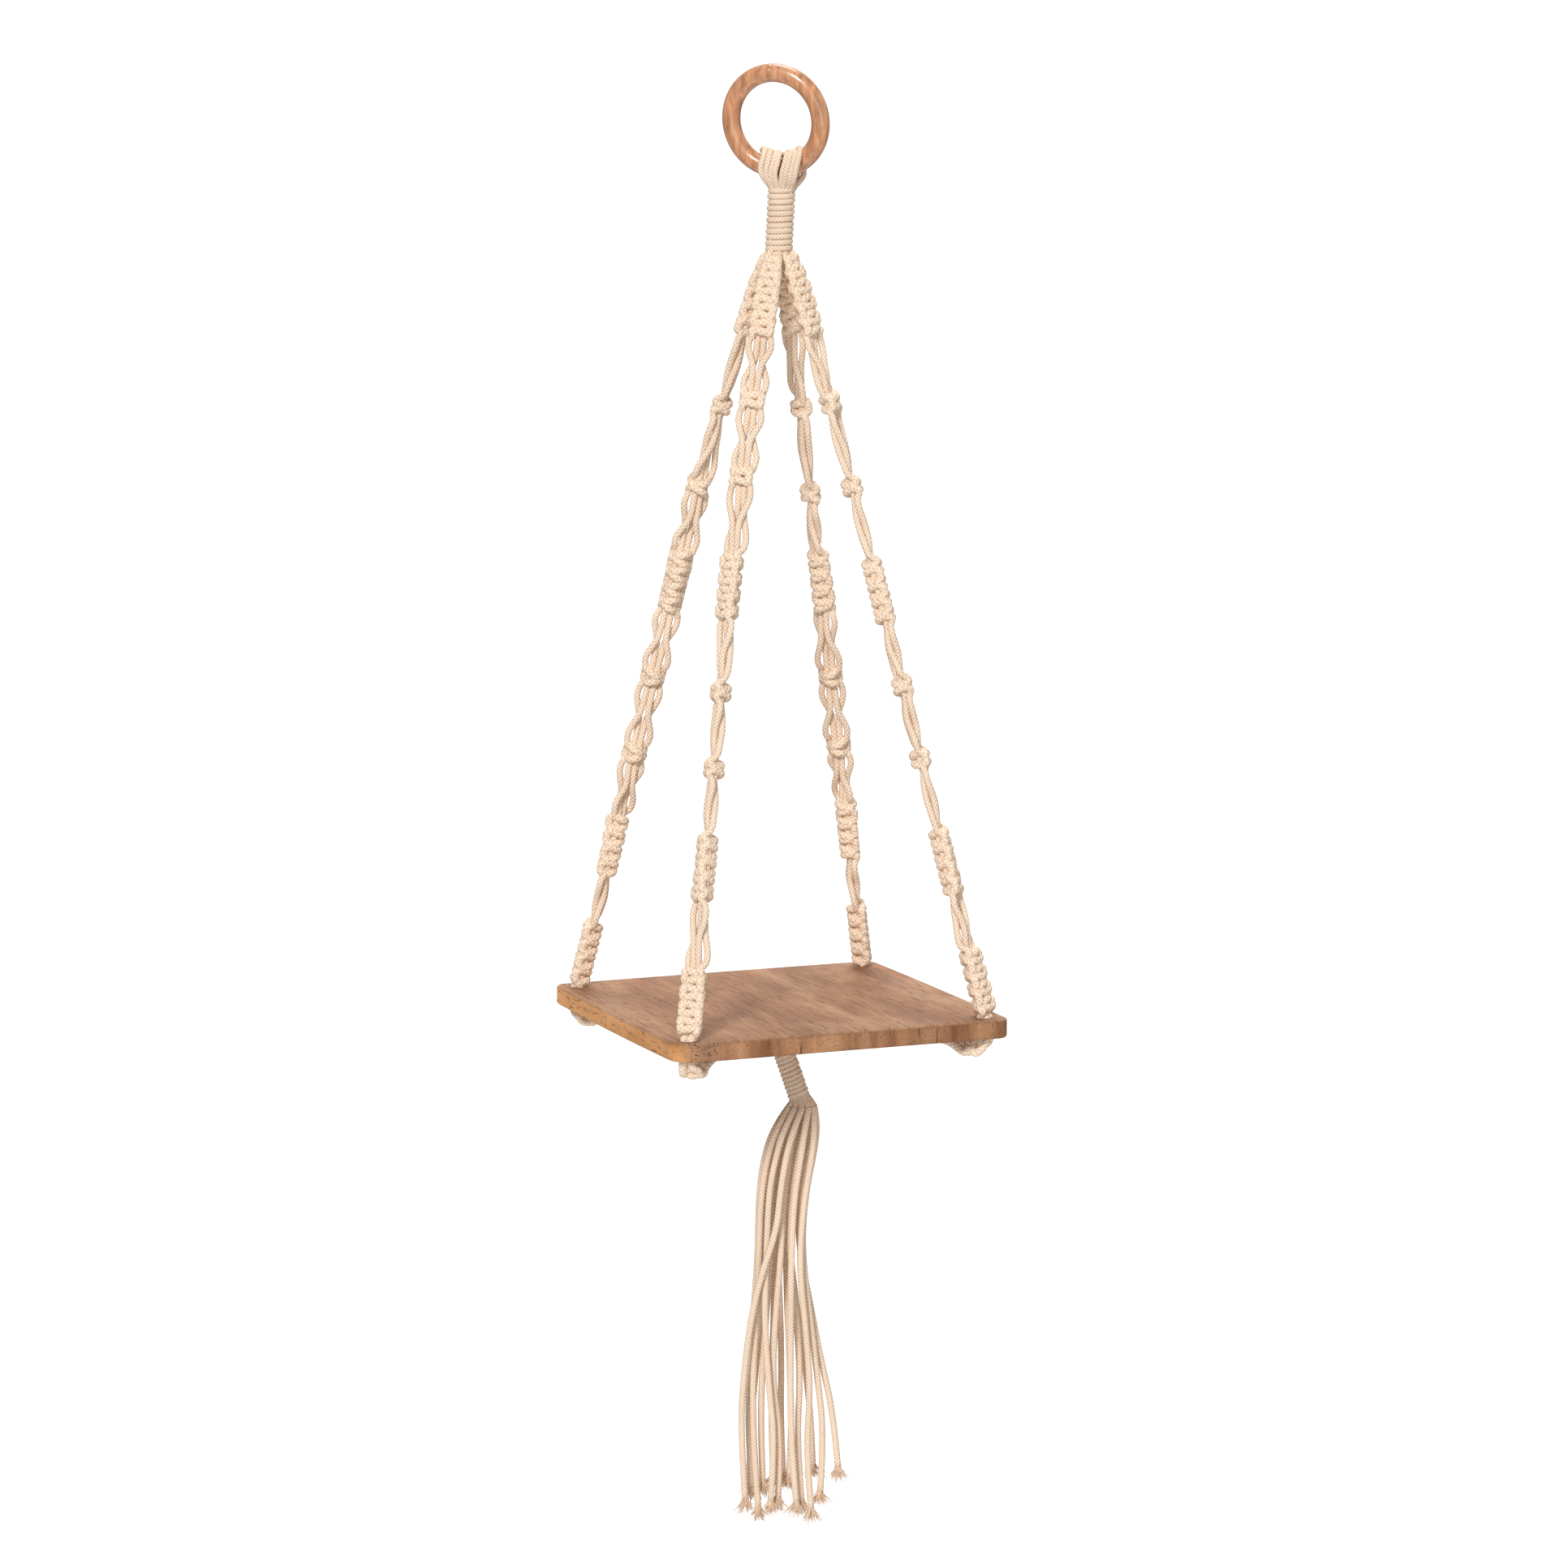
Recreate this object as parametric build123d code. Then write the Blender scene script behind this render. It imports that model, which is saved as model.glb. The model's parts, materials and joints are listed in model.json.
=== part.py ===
"""A hanging macrame planter: a square wooden board on four knotted cotton arms under a wooden ring.

Everything is laid out about the hanger's own vertical axis, with z = 0 at the height of the hook,
and each node is moved at the end so that the origin is the point where the hook bears on the ring.
Arms are named by the board's corner: front is -Y, and left is -X.
"""

from build123d import *
from math import cos, pi, radians, sin, sqrt, tan
import os

# ---------------------------------------------------------------- driving sizes, mm and degrees
CORD_CAD = 4.6  # cotton cord, across, where it lies against its neighbours
CORD_PACKED = 3.2  # the same cord squeezed inside the neck wrap

RING_R = 34.0  # centre line of the ring
RING_BAR = 6.6  # half the ring's thickness
RING_FACING = -135.0  # which way the ring faces
RING_LEAN = 8.0  # its top leans forwards on the hook

NECK_TOP = -73.5
NECK_BOTTOM = -121.5
NECK_TURNS = 12
NECK_R = 10.0
BUNDLE_R = 7.6  # the strands inside the neck wrap

BOARD_X, BOARD_Y, BOARD_T = 254.0, 250.0, 14.0
BOARD_TOP = -658.0
BOARD_BOTTOM = BOARD_TOP - BOARD_T
HOLE_INSET = 14.0
HOLE_R = 6.5
CORNER_R = {"front_left": 18.0, "front_right": 9.0, "back_right": 10.0, "back_left": 9.0}

KNOT_LONG = 11.5  # one square knot along the arm
KNOT_WIDE = 17.5
KNOT_THICK = 11.0
KNOT_GAP = 0.2  # between two knots of a row
SPAN_GAP = 0.6  # between a knot and the strands that leave it

LOOPS = 8
LOOPS_WIDE = 27.5
LOOP_IN_R = 8.6
LOOP_OUT_R = 13.0

TASSEL_PIVOT = BOARD_BOTTOM - 11.8  # the gathered strands swing about this point
TASSEL_TILT = 18.5  # the wrap leans this far from the vertical
TASSEL_TURN = -22.0  # and in this direction
TASSEL_WRAP_START, TASSEL_WRAP_END = 5.2, 48.0  # along the leaning axis
TASSEL_WRAP_R = 8.0
TASSEL_CORE_R = 5.8
TASSEL_TURNS = 13
TASSEL_BEND = 50.0  # the loose strands swing about this point of the leaning axis
STRAND_START = 53.5  # and begin here

# Each row of knots down an arm: its name, and how many square knots it has.
ROWS = (
    ("top_sennit", 5),
    ("knot_1", 1),
    ("knot_2", 1),
    ("upper_sennit", 4),
    ("knot_3", 1),
    ("knot_4", 1),
    ("middle_sennit", 4),
    ("lower_sennit", 4),
)
# Each arm: its corner, how far it bows sideways, how far down the arm the middle of each row lies,
# and which way each row faces.
ARMS = {
    "front_left": (
        (-1, -1),
        (-6.0, -1.0),
        (29.5, 104, 159, 237, 312, 366.5, 436.5, 528.5),
        (-125, -115, -135, -160, -190, -195, -190, -125),
    ),
    "front_right": (
        (1, -1),
        (2.0, -2.0),
        (29.5, 108, 169, 245, 314.5, 367.5, 443, 529),
        (-70, -40, -22, -22, -10, -22, -30, -60),
    ),
    "back_right": (
        (1, 1),
        (1.0, 1.0),
        (29.5, 114.5, 181, 249, 324.5, 380, 446, 529),
        (45, 0, -22, 10, 68, 60, -10, -22),
    ),
    "back_left": (
        (-1, 1),
        (-5.0, 4.0),
        (29.5, 112.5, 172.5, 244, 317.5, 376, 446.5, 529),
        (145, 150, 100, 68, 68, 72, 140, 158),
    ),
}
TOP_TAPER = (0.6, 0.82)  # the first two knots are squeezed together under the neck wrap

# ---------------------------------------------------------------- shared geometry


def around(angle, radius=1.0):
    """A level vector at that angle from +X."""
    return Vector(cos(radians(angle)) * radius, sin(radians(angle)) * radius, 0)


def seat():
    """The ring's middle, its up direction and its facing, with the ring's lowest bar on the hanger's axis."""
    up = around(RING_FACING) * sin(radians(RING_LEAN)) + Vector(0, 0, cos(radians(RING_LEAN)))
    facing = around(RING_FACING) * cos(radians(RING_LEAN)) - Vector(0, 0, sin(radians(RING_LEAN)))
    reach = 2 * RING_R - RING_BAR  # from the lowest bar's middle up to the hook
    low = Vector(0, 0, -reach * cos(radians(RING_LEAN)))
    return low, up, facing


def hole_centre(corner):
    return Vector(corner[0] * (BOARD_X / 2 - HOLE_INSET), corner[1] * (BOARD_Y / 2 - HOLE_INSET), BOARD_TOP)


ARM_START_R = 7.5  # how far from the axis each arm leaves the neck


class Arm:
    """The middle line of one arm, from the neck wrap to its hole in the board."""

    def __init__(self, name):
        self.name = name
        self.corner, self.bow, middles, facings = ARMS[name]
        self.rows = [(row, middle, count) for (row, count), middle in zip(ROWS, middles)]
        self.start = Vector(*self.corner, 0).normalized() * ARM_START_R + Vector(0, 0, NECK_BOTTOM)
        self.end = hole_centre(self.corner)
        self.long = (self.end - self.start).length
        self.facings = [(0.0, facings[0]), *zip(middles, facings), (self.long, facings[-1])]

    def point(self, along):
        """The arm bows out most a third of the way down."""
        t = min(max(along / self.long, 0.0), 1.0)
        swell = 6.75 * t * (1 - t) ** 2
        return self.start + (self.end - self.start) * t + Vector(*self.bow, 0) * swell

    def facing(self, along):
        for (a, fa), (b, fb) in zip(self.facings, self.facings[1:]):
            if along <= b:
                return fa + (fb - fa) * max(0.0, (along - a) / (b - a))
        return self.facings[-1][1]

    def plane(self, along, level=None):
        """A plane across the arm: local x is along a knot's width, y is its facing, z runs down the arm."""
        down = (self.point(along + 4) - self.point(along - 4)).normalized()
        level = self.facing(along) if level is None else level
        out = around(level)
        wide = down.cross(out).normalized()
        return Plane(origin=self.point(along), x_dir=wide, z_dir=down)


# ---------------------------------------------------------------- ring and neck


def hanging_ring():
    low, up, facing = seat()
    return Plane(origin=low + up * RING_R, z_dir=facing) * Torus(RING_R, RING_BAR)


def ring_loops():
    """The eight folded cords that pass over the ring, side by side, and narrow into the neck."""
    low, _, _ = seat()
    drop = low.Z - NECK_TOP
    side = Plane(origin=low, x_dir=around(RING_FACING + 90), z_dir=around(RING_FACING))
    wide = LOOPS_WIDE / LOOPS
    narrow = 2 * BUNDLE_R / LOOPS
    foot = Pos(0, 1 - drop) * Rectangle(2 * BUNDLE_R, 2)
    found = []
    for i in range(LOOPS):
        at = i - (LOOPS - 1) / 2
        rise = RING_R - sqrt(RING_R**2 - (at * wide) ** 2)  # the ring curves up beside its lowest point
        over = Pos(0, rise) * Circle(LOOP_OUT_R)
        section = make_hull((over + foot).edges()) - Pos(0, rise) * Circle(LOOP_IN_R)
        across = Plane(origin=low, x_dir=around(RING_FACING), z_dir=around(RING_FACING - 90))
        whole = extrude(across * section, LOOPS_WIDE, both=True)
        inner, outer = at - 0.47, at + 0.47
        slice_face = make_face(
            Polyline(
                (inner * wide, LOOP_OUT_R + rise + 1),
                (outer * wide, LOOP_OUT_R + rise + 1),
                (outer * wide, -2),
                (outer * narrow, 0.1 - drop),
                (inner * narrow, 0.1 - drop),
                (inner * wide, -2),
                close=True,
            )
        )
        found += (whole & extrude(side * slice_face, 40, both=True)).solids()
    return Compound(children=found)


def ridged_sleeve(long, in_r, out_r, turns):
    """A wrap of cord laid turn on turn, as a sleeve with one rounded ridge for each turn, going down -Z."""
    pitch = long / turns
    groove_r = out_r - 0.28 * pitch
    with BuildPart() as sleeve:
        with BuildSketch(Plane.XZ):
            with BuildLine():
                Line((in_r, 0), (groove_r, 0))
                for i in range(turns):
                    ThreePointArc(
                        (groove_r, -i * pitch), (out_r, -(i + 0.5) * pitch), (groove_r, -(i + 1) * pitch)
                    )
                Line((groove_r, -long), (in_r, -long))
                Line((in_r, -long), (in_r, 0))
            make_face()
        revolve(axis=Axis.Z)
    return sleeve.part


def neck_wrap():
    return Pos(0, 0, NECK_TOP) * ridged_sleeve(NECK_TOP - NECK_BOTTOM, BUNDLE_R + 0.05, NECK_R, NECK_TURNS)


def rods(counts, long, radius):
    """Squeezed strands in rings about -Z, as (how many, ring radius)."""
    found = []
    for count, ring in counts:
        for i in range(count):
            found.append(Pos(*around(360 * i / count, ring)) * Pos(0, 0, -long / 2) * Cylinder(radius, long))
    return found


def neck_strands():
    inside = rods(((5, 2.75), (11, 5.95)), NECK_TOP - NECK_BOTTOM, CORD_PACKED / 2 - 0.01)
    return Pos(0, 0, NECK_TOP) * Compound(children=[s.solid() for s in inside])


# ---------------------------------------------------------------- arms


def square_knot(size=1.0):
    block = Box(KNOT_WIDE * size, KNOT_THICK * size, KNOT_LONG - KNOT_GAP)
    return fillet(block.edges(), 2.4 * size)


def knots(arm, row):
    """One single knot, or a sennit of knots in a row."""
    name, middle, count = row
    found = []
    for i in range(count):
        along = middle + (i - (count - 1) / 2) * KNOT_LONG
        size = TOP_TAPER[i] if name == "top_sennit" and i < len(TOP_TAPER) else 1.0
        found.append((arm.plane(along) * square_knot(size)).solid())
    return found


# How the four strands of a span run between two rows of knots, as (share of the way, x, y).
# The two that worked the last knot come in to the middle, and the two fillers swing out to work the next.
SPAN_WORKER = ((0.0, 6.0, 2.5), (0.2, 7.6, 2.5), (0.5, 2.6, 2.5), (0.8, 2.45, 2.55), (1.0, 2.5, 2.5))
SPAN_FILLER = ((0.0, 2.5, -2.5), (0.2, 2.45, -2.55), (0.5, 2.6, -2.5), (0.8, 7.6, -2.5), (1.0, 6.0, -2.5))


def tube(points, radius, bend):
    """A round cord along straight runs joined by arcs."""
    path = FilletPolyline(*points, radius=bend)
    return sweep(Plane(origin=path @ 0, z_dir=path % 0) * Circle(radius), path)


def bends_of(points):
    """For each corner the largest arc that its two runs leave room for."""
    found = []
    for a, b, c in zip(points, points[1:], points[2:]):
        turn = radians((b - a).get_angle(c - b))
        found.append(0.45 * min((b - a).length, (c - b).length) / tan(turn / 2))
    return found


def knot_planes(arm, row):
    """The planes across the middles of a row's first and last knots."""
    half = (row[2] - 1) / 2 * KNOT_LONG
    return arm.plane(row[1] - half), arm.plane(row[1] + half)


def span(arm, upper, lower):
    """Four strands from the end of one row of knots to the start of the next."""
    leave = knot_planes(arm, upper)[1].offset(KNOT_LONG / 2 + SPAN_GAP)
    arrive = knot_planes(arm, lower)[0].offset(-KNOT_LONG / 2 - SPAN_GAP)
    start = upper[1] + upper[2] * KNOT_LONG / 2
    end = lower[1] - lower[2] * KNOT_LONG / 2
    found = []
    for route in (SPAN_WORKER, SPAN_FILLER):
        for side in (-1, 1):
            points = []
            for share, x, y in route:
                across = arm.plane(start + (end - start) * share)
                across = {0.0: leave, 1.0: arrive}.get(share, across)
                points.append(across.from_local_coords(Vector(side * x, y, 0)))
            found.append(tube(points, CORD_CAD / 2, bends_of(points)).solid())
    return found


def arm_nodes(name):
    arm = Arm(name)
    nodes = {f"{name}_{row[0]}": knots(arm, row) for row in arm.rows if row[2] > 1}
    for key, pair in (("upper", ("knot_1", "knot_2")), ("lower", ("knot_3", "knot_4"))):
        singles = [knot for row in arm.rows if row[0] in pair for knot in knots(arm, row)]
        nodes[f"{name}_{key}_single_knots"] = singles
    spans = [span(arm, upper, lower) for upper, lower in zip(arm.rows, arm.rows[1:])]
    nodes[f"{name}_span_strands"] = [strand for four in spans for strand in four]
    return {key: Compound(children=solids) for key, solids in nodes.items()}


# ---------------------------------------------------------------- board and what runs under it


def board():
    """A hand-cut square board: its sides bow a little, and its corners are rounded unevenly."""
    half_x, half_y = BOARD_X / 2, BOARD_Y / 2
    corners = {"front_left": (-half_x, -half_y), "front_right": (half_x, -half_y)}
    corners |= {"back_right": (half_x, half_y), "back_left": (-half_x, half_y)}
    left_bow, front_bow, right_bow, back_bow = 1.6, -0.8, 0.6, 0.8
    with BuildPart() as slab:
        with BuildSketch(Plane.XY.offset(BOARD_BOTTOM)) as outline:
            with BuildLine():
                ThreePointArc(corners["front_left"], (0, -half_y - front_bow), corners["front_right"])
                ThreePointArc(corners["front_right"], (half_x + right_bow, 0), corners["back_right"])
                ThreePointArc(corners["back_right"], (0, half_y + back_bow), corners["back_left"])
                ThreePointArc(corners["back_left"], (-half_x - left_bow, 0), corners["front_left"])
            make_face()
            for name, at in corners.items():
                corner = outline.vertices().sort_by_distance((*at, BOARD_BOTTOM))[0]
                fillet(corner, CORNER_R[name])
        extrude(amount=BOARD_T)
        fillet(slab.edges().filter_by(lambda e: abs(e.center().Z - BOARD_TOP) < 0.01), 1.8)
        fillet(slab.edges().filter_by(lambda e: abs(e.center().Z - BOARD_BOTTOM) < 0.01), 2.2)
        with Locations(*[hole_centre(arm[0]) for arm in ARMS.values()]):
            Hole(HOLE_R, 3 * BOARD_T)
    return slab.part


def inward(name):
    """A level frame under one corner: x runs from the hole to the board's middle, y to its left, z up."""
    hole = hole_centre(ARMS[name][0])
    return Plane(origin=Vector(hole.X, hole.Y, BOARD_BOTTOM), x_dir=Vector(-hole.X, -hole.Y, 0), z_dir=(0, 0, 1))


UNDER_KNOT_LONG = 22.0
UNDER_KNOT_START = -5.5
UNDER_PITCH = 4.75
GATHER_WIDE, GATHER_THICK = 20.5, 5.4


def hole_strands():
    """Each arm's four strands, where they pass down through the board."""
    found = []
    for corner in (arm[0] for arm in ARMS.values()):
        for x in (-2.35, 2.35):
            for y in (-2.35, 2.35):
                middle = hole_centre(corner) + Vector(x, y, (0.4 - BOARD_T) / 2)
                found.append((Pos(*middle) * Cylinder(CORD_CAD / 2, BOARD_T + 0.4)).solid())
    return Compound(children=found)


def under_knots():
    """One knot under each corner, which the board rests on."""
    found = []
    for name in ARMS:
        block = Box(UNDER_KNOT_LONG, KNOT_WIDE, 10)
        block = fillet(block.edges(), 2.4)
        found.append((inward(name) * Pos(UNDER_KNOT_START + UNDER_KNOT_LONG / 2, 0, -5.02) * block).solid())
    return Compound(children=found)


def underside_strands():
    """Four strands from each knot, side by side against the board, to the middle."""
    found = []
    start = UNDER_KNOT_START + UNDER_KNOT_LONG
    for name in ARMS:
        frame = inward(name)
        middle = hole_centre(ARMS[name][0])
        long = sqrt(middle.X**2 + middle.Y**2) - GATHER_WIDE / 2 - 0.4 - start
        for i in range(4):
            y = (i - 1.5) * UNDER_PITCH
            lying = Pos(start + long / 2, y, -CORD_CAD / 2 - 0.02) * Rot(0, 90, 0)
            found.append((frame * lying * Cylinder(CORD_CAD / 2, long)).solid())
    return Compound(children=found)


def gathered_strands():
    """Where all sixteen strands meet under the board's middle and turn down."""
    block = fillet(Box(GATHER_WIDE, GATHER_WIDE, GATHER_THICK).edges().filter_by(Axis.Z), 1.0)
    return Pos(0, 0, BOARD_BOTTOM - GATHER_THICK / 2 - 0.02) * Rot(0, 0, 45) * block


# ---------------------------------------------------------------- tassel


def leaning():
    """The tassel wrap's frame: its origin is the pivot, and -z runs down the wrap."""
    way = around(TASSEL_TURN) * sin(radians(TASSEL_TILT)) - Vector(0, 0, cos(radians(TASSEL_TILT)))
    return Plane(origin=(0, 0, TASSEL_PIVOT), x_dir=around(TASSEL_TURN - 90), z_dir=way * -1)


def tassel_wrap():
    sleeve = ridged_sleeve(TASSEL_WRAP_END - TASSEL_WRAP_START, TASSEL_CORE_R + 0.05, TASSEL_WRAP_R, TASSEL_TURNS)
    return leaning() * Pos(0, 0, -TASSEL_WRAP_START) * sleeve


def tassel_core():
    """The sixteen strands squeezed together inside the wrap, with rounded ends."""
    long = TASSEL_WRAP_END - TASSEL_CORE_R
    stem = Pos(0, 0, -long / 2) * Cylinder(TASSEL_CORE_R, long)
    ends = Sphere(TASSEL_CORE_R) + Pos(0, 0, -long) * Sphere(TASSEL_CORE_R)
    return leaning() * (stem + ends)


# The loose strands hang from the wrap. Each route is a list of points in the tassel's own axes, in mm:
# x is sideways, y is away from the front, and the last number is the drop below the wrap's mouth.
TASSEL_ROUTES = {
    "tassel_strand_01": (
        (0, -8.7, 0), (-5, -13, 12), (-11.5, -16.6, 33), (-15.8, -17.6, 60), (-18.5, -18.4, 88),
        (-28.5, -19, 118), (-36.5, -17, 150), (-42, -15, 192), (-45, -13, 237), (-41.5, -12, 289),
    ),
    "tassel_strand_02": (
        (4.7, -7.3, 0), (2.5, -10.9, 12), (-0.8, -14, 34), (-6.2, -14.4, 68), (-8, -14.6, 114),
        (-6.4, -15.2, 157), (-4.6, -14.8, 205), (-3.6, -15.6, 250), (-5, -15.2, 291),
    ),
    "tassel_strand_03": (
        (7.9, -3.6, 0), (7.3, -5.4, 13), (5.2, -7, 36), (0.4, -8, 70), (-2.2, -7.2, 116),
        (0.8, -8.6, 161), (4.6, -9.8, 209), (6.6, -10.2, 255), (5.4, -11, 297),
    ),
    "tassel_strand_04": (
        (8.6, 1.2, 0), (8.4, 1.8, 12), (6.8, 2.2, 33), (2, 1.4, 66), (-0.2, 2, 106),
        (4, 1, 153), (9.4, -0.6, 201), (12.8, -1.4, 246), (11.4, -1, 287),
    ),
    "tassel_strand_05": (
        (6.6, 5.7, 0), (5.3, 8.5, 12), (2.6, 10.8, 32), (-2, 10, 62), (-3, 10.6, 104),
        (4.8, 9.6, 147), (12.4, 8.4, 192), (19, 7.8, 234), (26.2, 7, 271),
    ),
    "tassel_strand_06": (
        (2.5, 8.3, 0), (-0.8, 12.5, 12), (-5.2, 16, 33), (-9.6, 15.8, 62), (-9.8, 16.2, 101),
        (-4.6, 15.8, 147), (1.8, 14.6, 192), (6.8, 14.4, 236), (8, 13.8, 271),
    ),
    "tassel_strand_07": (
        (-2.5, 8.3, 0), (-8.2, 12.5, 12), (-14.4, 15.8, 32), (-18.6, 16, 61), (-18.4, 15.6, 100),
        (-16.2, 16.4, 146), (-14.8, 15.6, 193), (-15.6, 15.2, 238), (-13.8, 15, 277),
    ),
    "tassel_strand_08": (
        (-7.1, 6.3, 0), (-14.5, 8.8, 12), (-22.2, 10.6, 33), (-27, 11.2, 64), (-26.8, 12, 108),
        (-29.6, 11.6, 153), (-33.6, 10.4, 199), (-37.4, 9.8, 242), (-38.6, 9.2, 282),
    ),
    "tassel_strand_09": (
        (-8.6, 1.2, 0), (-17.4, 1.9, 12), (-26.4, 2.6, 33), (-31.4, 3.2, 65), (-32, 4, 110),
        (-35.5, 3.2, 157), (-38.6, 1.8, 203), (-39.2, 1, 246), (-36.8, 0.2, 284),
    ),
    "tassel_strand_10": (
        (-8.7, -4.3, 0), (-16.8, -5.8, 13), (-24.8, -7, 35), (-30, -6.4, 68), (-31.4, -5.4, 114),
        (-33.6, -7.6, 161), (-36, -8.8, 209), (-35, -9.6, 254), (-32, -10.4, 296),
    ),
    "tassel_strand_11": (
        (-4.7, -7.3, 0), (-11.5, -10.9, 12), (-18.6, -13.8, 33), (-24.2, -13.4, 63), (-25.8, -12.4, 107),
        (-24.8, -14.2, 155), (-25.8, -15.2, 204), (-23.8, -15.8, 248), (-22.4, -16.6, 290),
    ),
    "tassel_strand_12": (
        (0, -4, 0), (-4.5, -6.2, 12), (-9.6, -8.4, 33), (-14.2, -8, 66), (-15.2, -8.6, 110),
        (-17.4, -8, 157), (-19.8, -8.4, 203), (-17.8, -8.2, 247), (-18.6, -8.6, 289),
    ),
    "tassel_strand_13": (
        (3.8, -1.2, 0), (1.4, -1.9, 12), (-2.2, -2.4, 34), (-7.2, -1.8, 66), (-9, -1, 109),
        (-6.8, -2.4, 155), (-3.4, -4.2, 203), (-1.2, -5.4, 249), (-0.6, -6.2, 292),
    ),
    "tassel_strand_14": (
        (2.4, 3.2, 0), (-0.9, 5, 12), (-5.2, 6.8, 33), (-10.6, 7, 63), (-11.8, 7.6, 104),
        (-10.8, 6.6, 149), (-8.8, 5.2, 197), (-7.4, 4, 240), (-9.2, 3.4, 277),
    ),
    "tassel_strand_15": (
        (-2.4, 3.2, 0), (-8.1, 5, 12), (-14.6, 6.8, 32), (-19.6, 7, 62), (-20.6, 7.6, 102),
        (-20.2, 6.8, 148), (-21.8, 6, 195), (-22.4, 5.4, 238), (-21, 5.6, 275),
    ),
    "tassel_strand_16": (
        (-4, -1.2, 0), (-10.8, -1.8, 12), (-17.8, -2.6, 33), (-22.6, -2.2, 64), (-22.8, -2.8, 106),
        (-25.6, -2, 151), (-29, -1.4, 197), (-30.2, -0.8, 240), (-28.6, -1.4, 280),
    ),
}


def tassel_strand(name):
    """One loose strand, hanging from the wrap's mouth to its cut end."""
    mouth = leaning().from_local_coords(Vector(0, 0, -STRAND_START))
    hung = Plane(origin=mouth, x_dir=around(TASSEL_TURN), z_dir=(0, 0, 1))
    points = [hung.from_local_coords(Vector(x, y, -drop)) for x, y, drop in TASSEL_ROUTES[name]]
    bends = bends_of(points)
    strand = tube(points, CORD_CAD / 2, bends).solid()
    long = FilletPolyline(*points, radius=bends).length
    share = strand.volume / (pi * (CORD_CAD / 2) ** 2 * long)
    print(name, "length", round(long, 1), "volume share", round(share, 4), "radii", [round(r) for r in bends])
    return strand


def main():
    os.makedirs("parts", exist_ok=True)
    low, up, _ = seat()
    hook = low + up * (2 * RING_R - RING_BAR)
    nodes = {
        "hanging_ring": hanging_ring(),
        "ring_loops": ring_loops(),
        "neck_strands": neck_strands(),
        "neck_wrap": neck_wrap(),
        "board": board(),
        "hole_strands": hole_strands(),
        "under_knots": under_knots(),
        "underside_strands": underside_strands(),
        "gathered_strands": gathered_strands(),
        "tassel_wrap": tassel_wrap(),
        "tassel_core": tassel_core(),
    }
    for name in ARMS:
        nodes |= arm_nodes(name)
    for name in TASSEL_ROUTES:
        nodes[name] = tassel_strand(name)
    for name, shape in nodes.items():
        export_step(shape.moved(Location(hook * -1)), f"parts/{name}.step")


if __name__ == "__main__":
    main()
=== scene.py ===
"""A hanging macrame planter: a square wooden board on four knotted cotton arms under a wooden ring."""

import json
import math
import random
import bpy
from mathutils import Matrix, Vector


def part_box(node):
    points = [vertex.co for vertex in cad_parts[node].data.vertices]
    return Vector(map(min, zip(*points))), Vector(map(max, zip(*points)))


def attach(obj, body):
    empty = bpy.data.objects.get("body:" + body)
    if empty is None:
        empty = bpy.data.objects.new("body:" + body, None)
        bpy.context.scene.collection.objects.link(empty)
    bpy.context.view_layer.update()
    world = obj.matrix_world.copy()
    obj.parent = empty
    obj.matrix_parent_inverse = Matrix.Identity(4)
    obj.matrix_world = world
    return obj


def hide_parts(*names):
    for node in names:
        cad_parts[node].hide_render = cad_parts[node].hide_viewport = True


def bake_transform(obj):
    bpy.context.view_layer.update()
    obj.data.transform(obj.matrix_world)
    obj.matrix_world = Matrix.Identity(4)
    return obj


bl_info = {
    "name": "Macrame Planter",
    "version": (1, 0, 0),
    "blender": (4, 5, 0),
    "location": "View3D > Sidebar > Planter",
    "description": "Builds a hanging planter: wooden ring, square-knot arms, wooden board and cord tassel",
    "category": "Add Mesh",
}

import bmesh
import bpy
import numpy as np
from bpy.props import FloatProperty, FloatVectorProperty, IntProperty, PointerProperty
from mathutils import Vector

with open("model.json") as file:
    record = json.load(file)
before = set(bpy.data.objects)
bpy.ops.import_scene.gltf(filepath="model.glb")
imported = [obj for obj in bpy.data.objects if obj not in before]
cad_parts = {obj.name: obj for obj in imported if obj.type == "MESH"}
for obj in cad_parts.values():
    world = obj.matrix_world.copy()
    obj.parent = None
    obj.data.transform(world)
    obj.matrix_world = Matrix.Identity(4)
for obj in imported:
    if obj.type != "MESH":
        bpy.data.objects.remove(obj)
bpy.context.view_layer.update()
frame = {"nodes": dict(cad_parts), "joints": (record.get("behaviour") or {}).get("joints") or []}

# ---------------------------------------------------------------- places taken from the frame
MM = 0.001
JOINTS = {joint["name"]: joint for joint in frame["joints"]}
RING_LOW = np.array(JOINTS["hanger_tilt"]["pos_m"]) / MM  # the middle of the ring's lowest bar
WRAP_PIVOT = np.array(JOINTS["wrap_swing"]["pos_m"]) / MM
TASSEL_BEND = np.array(JOINTS["tassel_sway"]["pos_m"]) / MM
AXIS_X, AXIS_Y = RING_LOW[0], RING_LOW[1]  # the hanger's own upright axis
NECK_BOTTOM, NECK_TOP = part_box("neck_wrap")[0].z / MM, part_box("neck_wrap")[1].z / MM
BOARD_BOTTOM, BOARD_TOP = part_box("board")[0].z / MM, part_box("board")[1].z / MM

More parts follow.
